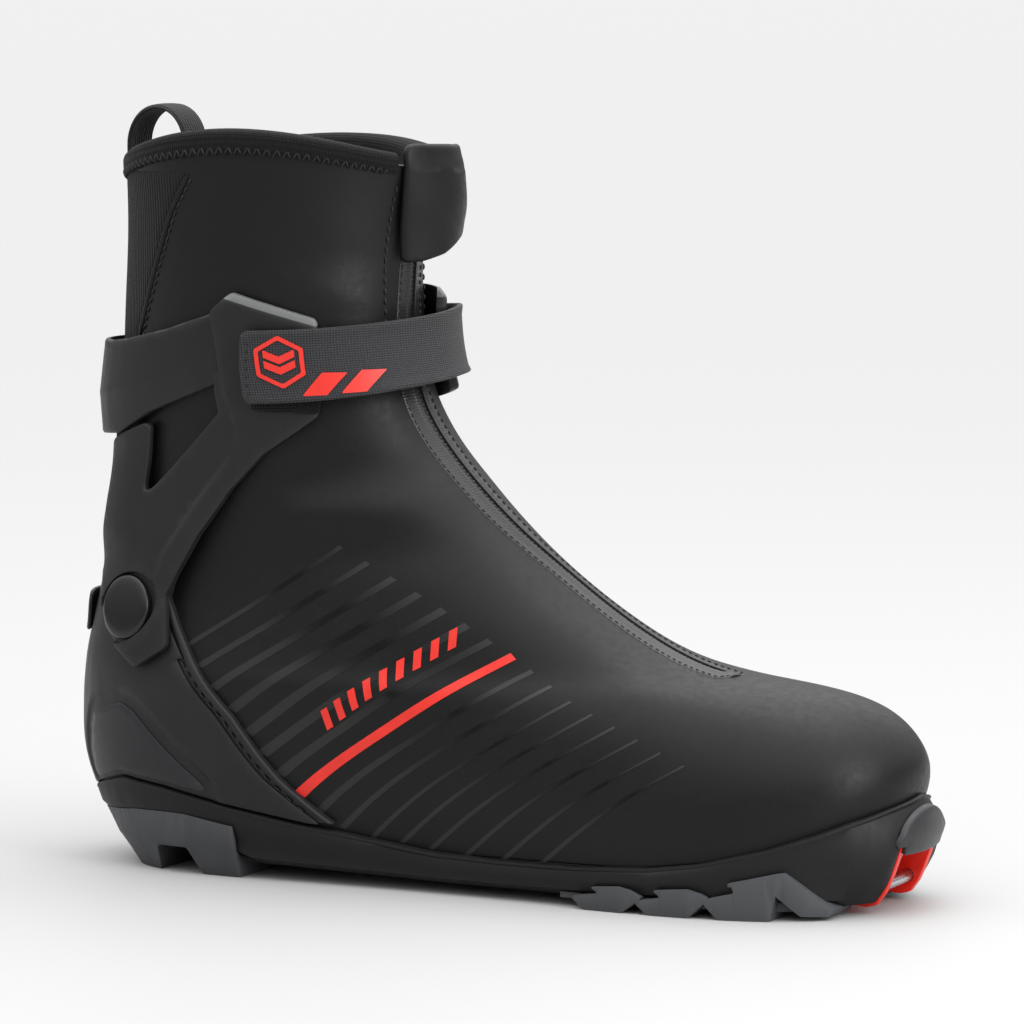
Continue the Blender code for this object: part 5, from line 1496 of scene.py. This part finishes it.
def make_counter():
    bottom = [(u, z + 0.5) for u, z in SOLE_LINE if u <= 108]
    back = TRIM_WIDTH + GROOVE_WIDTH
    edge = u_at(COUNTER_FRONT, GROOVE_TOP)
    step = [(edge - back, GROOVE_TOP), (edge - TRIM_WIDTH, GROOVE_TOP)]
    upper_edge = [(u - TRIM_WIDTH - GAP, z) for u, z in COUNTER_FRONT if z > GROOVE_TOP]
    side = [*bottom[1:], (112.4, 20.0), *counter_edge(back, GROOVE_TOP)[1:], *step, *upper_edge, (44.0, 93.5),
            (20.0, 91.0)]
    outline = [bottom[0], *side, (0, 90.5), *reversed([(-u, z) for u, z in side])]
    pocket = np.array(rounded(INLAY, 5.0))
    loop = beside(resampled(pocket, 1.5), 4.1)
    if inside(loop[:1], pocket)[0]:
        loop = beside(resampled(pocket, 1.5), -4.1)
    loop = np.concatenate([loop, loop[:1]])
    creases = [(loop * (way, 1), (-0.3, 0.3)) for way in (1, -1)]
    mesh = plate_mesh(outline, COUNTER_IN, counter_height, step=2.6, corner=0.8, edge=0.7, creases=creases)
    add_piece("counter_shell", mesh, "shell", "shell", "shell_plastic", "heel_counter")
    line = groove_line()
    threads = [stitches_mesh([(way * u, z) for u, z in line], skin, length=2.7, gap=1.4, radius=0.42,
                             off=1.5) for way in (1, -1)]
    add_piece("counter_stitches", joined_parts(threads), "gloss", "shell", "lace")
    half = GROOVE_WIDTH / 2 + 1.0
    for way, word in ((1, "lateral"), (-1, "medial")):
        strip = [(u + half, z) for u, z in line] + [(u - half, z) for u, z in line[::-1]]
        strip = list(reversed(strip)) if way > 0 else [(-u, z) for u, z in strip]
        mesh = plate_mesh(strip, 0.2, 1.4, step=1.8, corner=0, edge=0)
        add_piece(f"counter_tape_{word}", mesh, "thread", "shell", "webbing")
        outline = [(115.0, 20.4), (117.4, 20.3), *COUNTER_FRONT[1:], *reversed(counter_edge(TRIM_WIDTH)[1:])]
        outline = outline if way > 0 else mirrored(outline)
        mesh = plate_mesh(outline, 0.1, COUNTER_OUT + 0.15, step=1.6, corner=0.8, edge=1.1)
        add_piece(f"counter_rim_{word}", mesh, "shell", "shell", "shell_plastic", f"counter_trim_{word}")
        inlay = INLAY if way > 0 else mirrored(INLAY)
        mesh = plate_mesh(inlay, COUNTER_OUT - 0.8, COUNTER_OUT + 0.1, step=2.2, corner=3.0, edge=0.4)
        add_piece(f"counter_panel_{word}", mesh, "inlay", "shell", "gloss_plastic",
                  f"counter_inlay_{word}")


def make_heel_tab():
    """The counter's flared lip behind the ankle."""
    def lean(_, z):
        return COUNTER_OUT + 0.2 + 1.5 * smooth_step(z, 74.0, 86.0)

    outline = ((-19, 74.0), (19, 74.0), (16, 87.0), (-16, 87.0))
    mesh = plate_mesh(outline, lean, lambda u, z: lean(u, z) + 1.5, step=1.8, corner=3.5, edge=0.7,
                      under=True)
    add_piece("heel_lip", mesh, "shell", "shell", "shell_plastic", "heel_tab")


# ---------------------------------------------------------------- cuff

# Outline of the cuff's wing: its front tip, which differs, and the rest of it on both sides
WING_TIP_LATERAL = ((77.5, 188.7), (104.0, 180.1), (103.5, 149.0))
WING_TIP_MEDIAL = ((77.5, 188.7), (112.0, 188.5), (128.0, 187.5), (131.0, 182.0), (131.0, 160.0),
                   (127.0, 153.0), (108.0, 149.5))
CUFF_LOWER = ((97.9, 144.9), (85.9, 136.9), (75.2, 125.3), (65.8, 110.1), (60.6, 97.5), (58.5, 90.0),
              (65.5, 73.2), (55.7, 66.1), (35.0, 78.1), (27.5, 95.0), (26.0, 120.0), (26.5, 138.9),
              (45.2, 146.6), (42.3, 120.9), (71.2, 150.1), (70.2, 157.5), (72.1, 172.2), (70.6, 182.5))
WING_RIDGE = ((69.5, 183.0), (71.6, 172.2), (73.6, 158.0), (76.6, 146.0), (74.6, 136.5), (63.0, 120.5),
              (54.0, 104.0), (52.5, 88.0))  # where the wing's front steps up
RECESS_RADIUS = 11.7  # round the rivet's cap


def cuff_inner(u, z):
    """Distance off the surface: clear of the counter at the rivet, close to the shaft above it."""
    tip = 3.2 * smooth_step(np.abs(u), 92.0, 122.0) * ((u < 0) & (z > 140))
    rear = 2.0 * (1 - smooth_step(np.abs(u), 32.0, 50.0))
    rear = rear * smooth_step(z, 96.0, 112.0) * (1 - smooth_step(z, 150.0, 165.0))
    return CUFF_IN - 2.6 * smooth_step(z, 104.0, 138.0) + tip + rear


def wing_top(u):
    """The chamfered top edge of the wing on the side of u."""
    return WING_TIP_LATERAL[:2] if np.mean(u) > 0 else WING_TIP_MEDIAL[:3]


def wing_height(u, z):
    """The wing's outer face: its front stands over its rear arm, and a recess takes the rivet's cap."""
    flat = np.stack([np.abs(u), z], -1)
    step = smooth_step(np.abs(u) - u_at(WING_RIDGE, z), -0.55, 0.55) * smooth_step(z, 90.0, 106.0)
    to_cap = np.hypot(np.abs(u) - PIVOT_U, z - PIVOT_Z)
    recess = 1 - smooth_step(to_cap, RECESS_RADIUS - 0.2, RECESS_RADIUS + 0.2)
    boss = 0.5 * (1 - smooth_step(to_cap, 13.5, 22.0))
    chamfer = 1.5 * (1 - smooth_step(distance_to(flat, wing_top(u), closed=False), 0.2, 3.2))
    return cuff_inner(u, z) + CUFF_THICK - 0.2 + 1.0 * step + boss - 1.9 * recess - chamfer


def make_cuff_wings():
    for way, word, tip in ((1, "lateral", WING_TIP_LATERAL), (-1, "medial", WING_TIP_MEDIAL)):
        outline = [*tip, *CUFF_LOWER]
        outline = list(reversed(outline)) if way > 0 else [(-u, z) for u, z in outline]
        ring = [(way * PIVOT_U + RECESS_RADIUS * math.cos(t), PIVOT_Z + RECESS_RADIUS * math.sin(t))
                for t in np.linspace(0, 2 * math.pi, 50)]
        creases = [([(way * u, z) for u, z in WING_RIDGE], (-0.6, 0.0, 0.6)), (ring, (-0.25, 0.25)),
                   ([(way * u, z) for u, z in wing_top(way)], (-3.3, -2.3, 2.3, 3.3))]
        points, faces, flat = plate_mesh(outline, cuff_inner, wing_height, step=2.2, corner=2.4, edge=0.8,
                                         creases=creases)
        # Outer faces of the top chamfer take the pale second look, a painted highlight along the wing's top
        # edge.
        middles = np.array([flat[list(face)].mean(axis=0) for face in faces]) * (way, 1)
        painted_highlight_top = distance_to(middles, wing_top(way), closed=False) < 2.2
        is_outside = np.array([min(face) < len(points) // 2 for face in faces])
        add_piece(f"wing_{word}", (points, faces), "shell", "cuff", "shell_plastic", f"cuff_wing_{word}",
                  slots=("painted_highlight_edge",), which=painted_highlight_top & is_outside)


# Arc length and height of the long crease in the cuff's rear strap
BAND_FACET = ((0, 152.5), (20, 153.5), (32.6, 155.4), (53.0, 161.9), (71.0, 168.0))


def make_cuff_band():
    """The cuff's rear strap, with a long crease between its upper and lower faces."""
    def inner(u, _):
        return 1.4 + 3.6 * (1 - smooth_step(np.abs(u), 20.0, 60.0))

    def outer(u, z):
        thickness = 3.2 - 1.0 * smooth_step(np.abs(u), 62.0, 68.0)
        return inner(u, z) + thickness - 0.09 * np.abs(z - table(BAND_FACET, np.abs(u)))

    half = ((14.0, 139.6), (31.6, 141.4), (45.9, 149.3), (73.0, 159.8), (74.5, 172.0), (73.0, 182.6),
            (54.0, 176.3), (37.6, 172.4), (27.8, 171.0))
    outline = [(0, 139.0), *half, (0, 170.5), *mirrored(half)]
    facet = [*reversed([(-u, z) for u, z in BAND_FACET[1:]]), *BAND_FACET]
    mesh = plate_mesh(outline, inner, outer, step=2.4, corner=2.2, edge=0.8,
                      creases=[(facet, (-0.5, 0.0, 0.5))])
    add_piece("cuff_rear_band", mesh, "shell", "cuff", "shell_plastic", "cuff_band")


def make_rivet_caps():
    """Domed caps in the wings' recesses."""
    for way, word in ((1, "lateral"), (-1, "medial")):
        u = way * PIVOT_U
        base = float(cuff_inner(np.array([u]), np.array([PIVOT_Z]))[0]) + 0.2
        start, ahead = skin(u, PIVOT_Z, base), skin(u, PIVOT_Z, base + 1.0)
        radius = CAP_RADIUS
        profile = [(radius, 0.0), (radius, 1.7), (radius - 0.2, 2.1), (radius - 0.6, 2.35)]
        profile += [(radius * share, 2.42 + 0.5 * (1 - share ** 2)) for share in (0.86, 0.7, 0.5, 0.3, 0.12)]
        add_piece(f"rivet_dome_{word}", turned(profile, start, ahead - start), "gloss", "cuff",
                  "gloss_plastic", f"rivet_cap_{word}")


# ---------------------------------------------------------------- ankle strap

STRAP_THICK = 1.9
EMBLEM = (49.6, 167.2)
# By arc length from the front line: the strap's distance off the last, and its two edges' heights
STRAP_OFF = ((-58, 6.2), (-42, 7.0), (-30, 9.4), (-18, 10.8), (-6, 10.4), (8, 8.8), (24, 7.6), (40, 7.3),
             (62, 7.3))
STRAP_LOW = ((-58, 154.5), (-20, 157.5), (0, 156.5), (20, 155.0), (40, 154.0), (62, 154.0))
STRAP_HIGH = ((-58, 178.0), (-20, 182.5), (0, 181.0), (22, 178.8), (42, 177.6), (62, 177.2))


def strap_off(w):
    return curve_through(STRAP_OFF, np.asarray(w, float))


def strap_place(w, z, off):
    """Points off the strap's inner face."""
    return front(w, z, strap_off(w) + off)


def emblem_ring(wide, high):
    """A hexagon round the emblem's middle."""
    turns = np.arange(6) * math.pi / 3
    return [(EMBLEM[0] + wide * math.sin(t), EMBLEM[1] + high * math.cos(t)) for t in turns]


def make_strap():
    """Woven strap with thicker edges, a plain emblem and two slanted bars, and its hook pad."""
    low = [(w, float(curve_through(STRAP_LOW, np.array(w)))) for w in np.linspace(-58, 61.6, 50)]
    high = [(w, float(curve_through(STRAP_HIGH, np.array(w)))) for w in np.linspace(-58, 58.8, 50)]
    corners = [(low[-1][0] + 0.9, low[-1][1] + 1.6), (high[-1][0] + 1.4, high[-1][1] - 1.2)]
    outline = np.array([*low, *corners, *reversed(high)])

    def face(w, z):
        border = distance_to(np.stack([w, z], -1), outline)
        return strap_off(w) + STRAP_THICK - 0.35 * smooth_step(border, 1.6, 2.6)

    mesh = plate_mesh(outline, lambda w, z: strap_off(w), face, step=1.8, corner=0, edge=0.6,
                      place=front, under=True)
    strap = add_piece("ankle_strap_webbing", mesh, "strap", "strap", "webbing", "ankle_strap", cloth=True)
    marks = []

    def mark(shape, corner, step=1.2, holes=()):
        marks.append(plate_mesh(shape, STRAP_THICK - 0.5, STRAP_THICK + 0.02, step=step, corner=corner,
                                edge=0, holes=holes, place=strap_place))

    for shift in (0.0, -10.6):
        bar = ((45.0, 155.9), (38.2, 155.7), (31.4, 162.8), (38.2, 163.3))
        mark([(w + shift, z) for w, z in bar], 0.3, step=1.4)
    mark(emblem_ring(8.0, 8.6), 1.2, holes=[rounded(emblem_ring(6.6, 7.1), 1.0)])
    middle, half = EMBLEM[0], 4.4
    for low_z in (163.2, 166.6):
        mark([(middle - half, low_z + 2.2), (middle, low_z), (middle + half, low_z + 2.2),
              (middle + half, low_z + 4.6), (middle, low_z + 2.4), (middle - half, low_z + 4.6)], 0.2)
    prints = add_piece("strap_marks", joined_parts(marks), "film_red", "strap", "red_plastic")
    hem = [(60.6, 156.0), (58.0, 175.4)]
    run = stitches_mesh(hem, strap_place, length=1.8, gap=0.9, radius=0.3, off=STRAP_THICK - 0.3)
    thread = add_piece("strap_stitches", run, "thread", "strap", "lace")
    hook = ((83.0, 151.2), (104.0, 149.7), (104.5, 174.5), (83.0, 175.0))
    mesh = plate_mesh(hook, lambda u, z: cuff_inner(u, z) + CUFF_THICK + 0.5,
                      lambda u, z: cuff_inner(u, z) + CUFF_THICK + 1.7, step=2.0, corner=1.5, edge=0.4)
    add_piece("hook_pad", mesh, "hook", "cuff", "webbing", "strap_hook_pad", cloth=True)


# ---------------------------------------------------------------- the CAD nodes that stay

KEPT = {
    "sole_plate": "composite", "lasting_board": "board", "insole": "lining", "toe_puff": "composite",
    "eyestay_lateral": "webbing", "eyestay_medial": "webbing", "speed_lace": "lace", "lace_lock": "gloss",
    "rivet_pin_lateral": "steel", "rivet_pin_medial": "steel", "strap_anchor_rivet": "gloss",
}


def dress_kept_nodes():
    for name, look in KEPT.items():
        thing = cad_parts[name]
        for slot in thing.material_slots:
            slot.material = LOOKS[look]


# ---------------------------------------------------------------- stage, light and camera

CAMERA_AZIMUTH, CAMERA_ELEVATION, CAMERA_DISTANCE = 25.0, 5.5, 1.8
CAMERA_TARGET = (0.00465, 0.0001, 0.118)
CAMERA_LENS = 198.46


def make_camera():
    a, e = math.radians(CAMERA_AZIMUTH), math.radians(CAMERA_ELEVATION)
    back = Vector((math.sin(a) * math.cos(e), -math.cos(a) * math.cos(e), math.sin(e)))
    data = bpy.data.cameras.new("camera")
    data.lens = CAMERA_LENS
    data.sensor_width = 36.0
    camera = bpy.data.objects.new("camera", data)
    camera.location = Vector(CAMERA_TARGET) + back * CAMERA_DISTANCE
    camera.rotation_euler = (-back).to_track_quat("-Z", "Y").to_euler()
    bpy.context.scene.collection.objects.link(camera)
    bpy.context.scene.camera = camera


def area_light(name, place, target, size, power, colour=(1.0, 1.0, 1.0)):
    data = bpy.data.lights.new(name, "AREA")
    data.shape = "RECTANGLE"
    data.size, data.size_y = size
    data.energy = power
    data.color = colour
    light = bpy.data.objects.new(name, data)
    light.location = place
    light.rotation_euler = (Vector(target) - Vector(place)).to_track_quat("-Z", "Y").to_euler()
    bpy.context.scene.collection.objects.link(light)


def make_stage():
    size = 120.0
    corners = [(-size, -size, 0), (size, -size, 0), (size, size, 0), (-size, size, 0)]
    mesh = bpy.data.meshes.new("floor")
    mesh.from_pydata(corners, [], [(0, 1, 2, 3)])
    material = bpy.data.materials.new("floor_look")
    material.use_nodes = True
    shader = material.node_tree.nodes["Principled BSDF"]
    shader.inputs["Base Color"].default_value = (0.40, 0.40, 0.40, 1.0)
    shader.inputs["Roughness"].default_value = 0.6
    shader.inputs["Specular IOR Level"].default_value = 0.2
    mesh.materials.append(material)
    floor = bpy.data.objects.new("floor", mesh)
    bpy.context.scene.collection.objects.link(floor)
    world = bpy.data.worlds.new("studio")
    bpy.context.scene.world = world
    world.use_nodes = True
    tree = world.node_tree
    split = node(tree, "SeparateXYZ")
    tree.links.new(node(tree, "TexCoord").outputs["Generated"], split.inputs["Vector"])
    sky = ramp(tree, split.outputs["Z"], 0.12, 3.0, at=(0.05, 0.95))
    tree.links.new(sky, tree.nodes["Background"].inputs["Color"])
    area_light("top_light", (0.15, 0.25, 1.3), (0.0, 0.0, 0.1), (1.0, 0.7), 4.0)
    area_light("right_light", (1.2, -0.4, 0.5), (0.0, 0.0, 0.12), (0.5, 0.9), 10.0)
    bpy.context.scene.view_settings.view_transform = "Standard"


# ---------------------------------------------------------------- the whole

make_camera()
make_outsole()
make_forefoot_tread(1, "forefoot_lugs_lateral", "forefoot_tread_lateral")
make_forefoot_tread(-1, "forefoot_lugs_medial", "forefoot_tread_medial")
make_heel_tread()
make_toe_unit()
make_toe_arch()
make_upper()
make_stripes()
make_zip()
make_slider()
make_inner_boot()
make_collar_edge()
make_achilles()
make_pull_loop()
make_flap()
make_counter()
make_heel_tab()
make_cuff_wings()
make_cuff_band()
make_rivet_caps()
make_strap()
dress_kept_nodes()
make_stage()

bpy.context.view_layer.update()
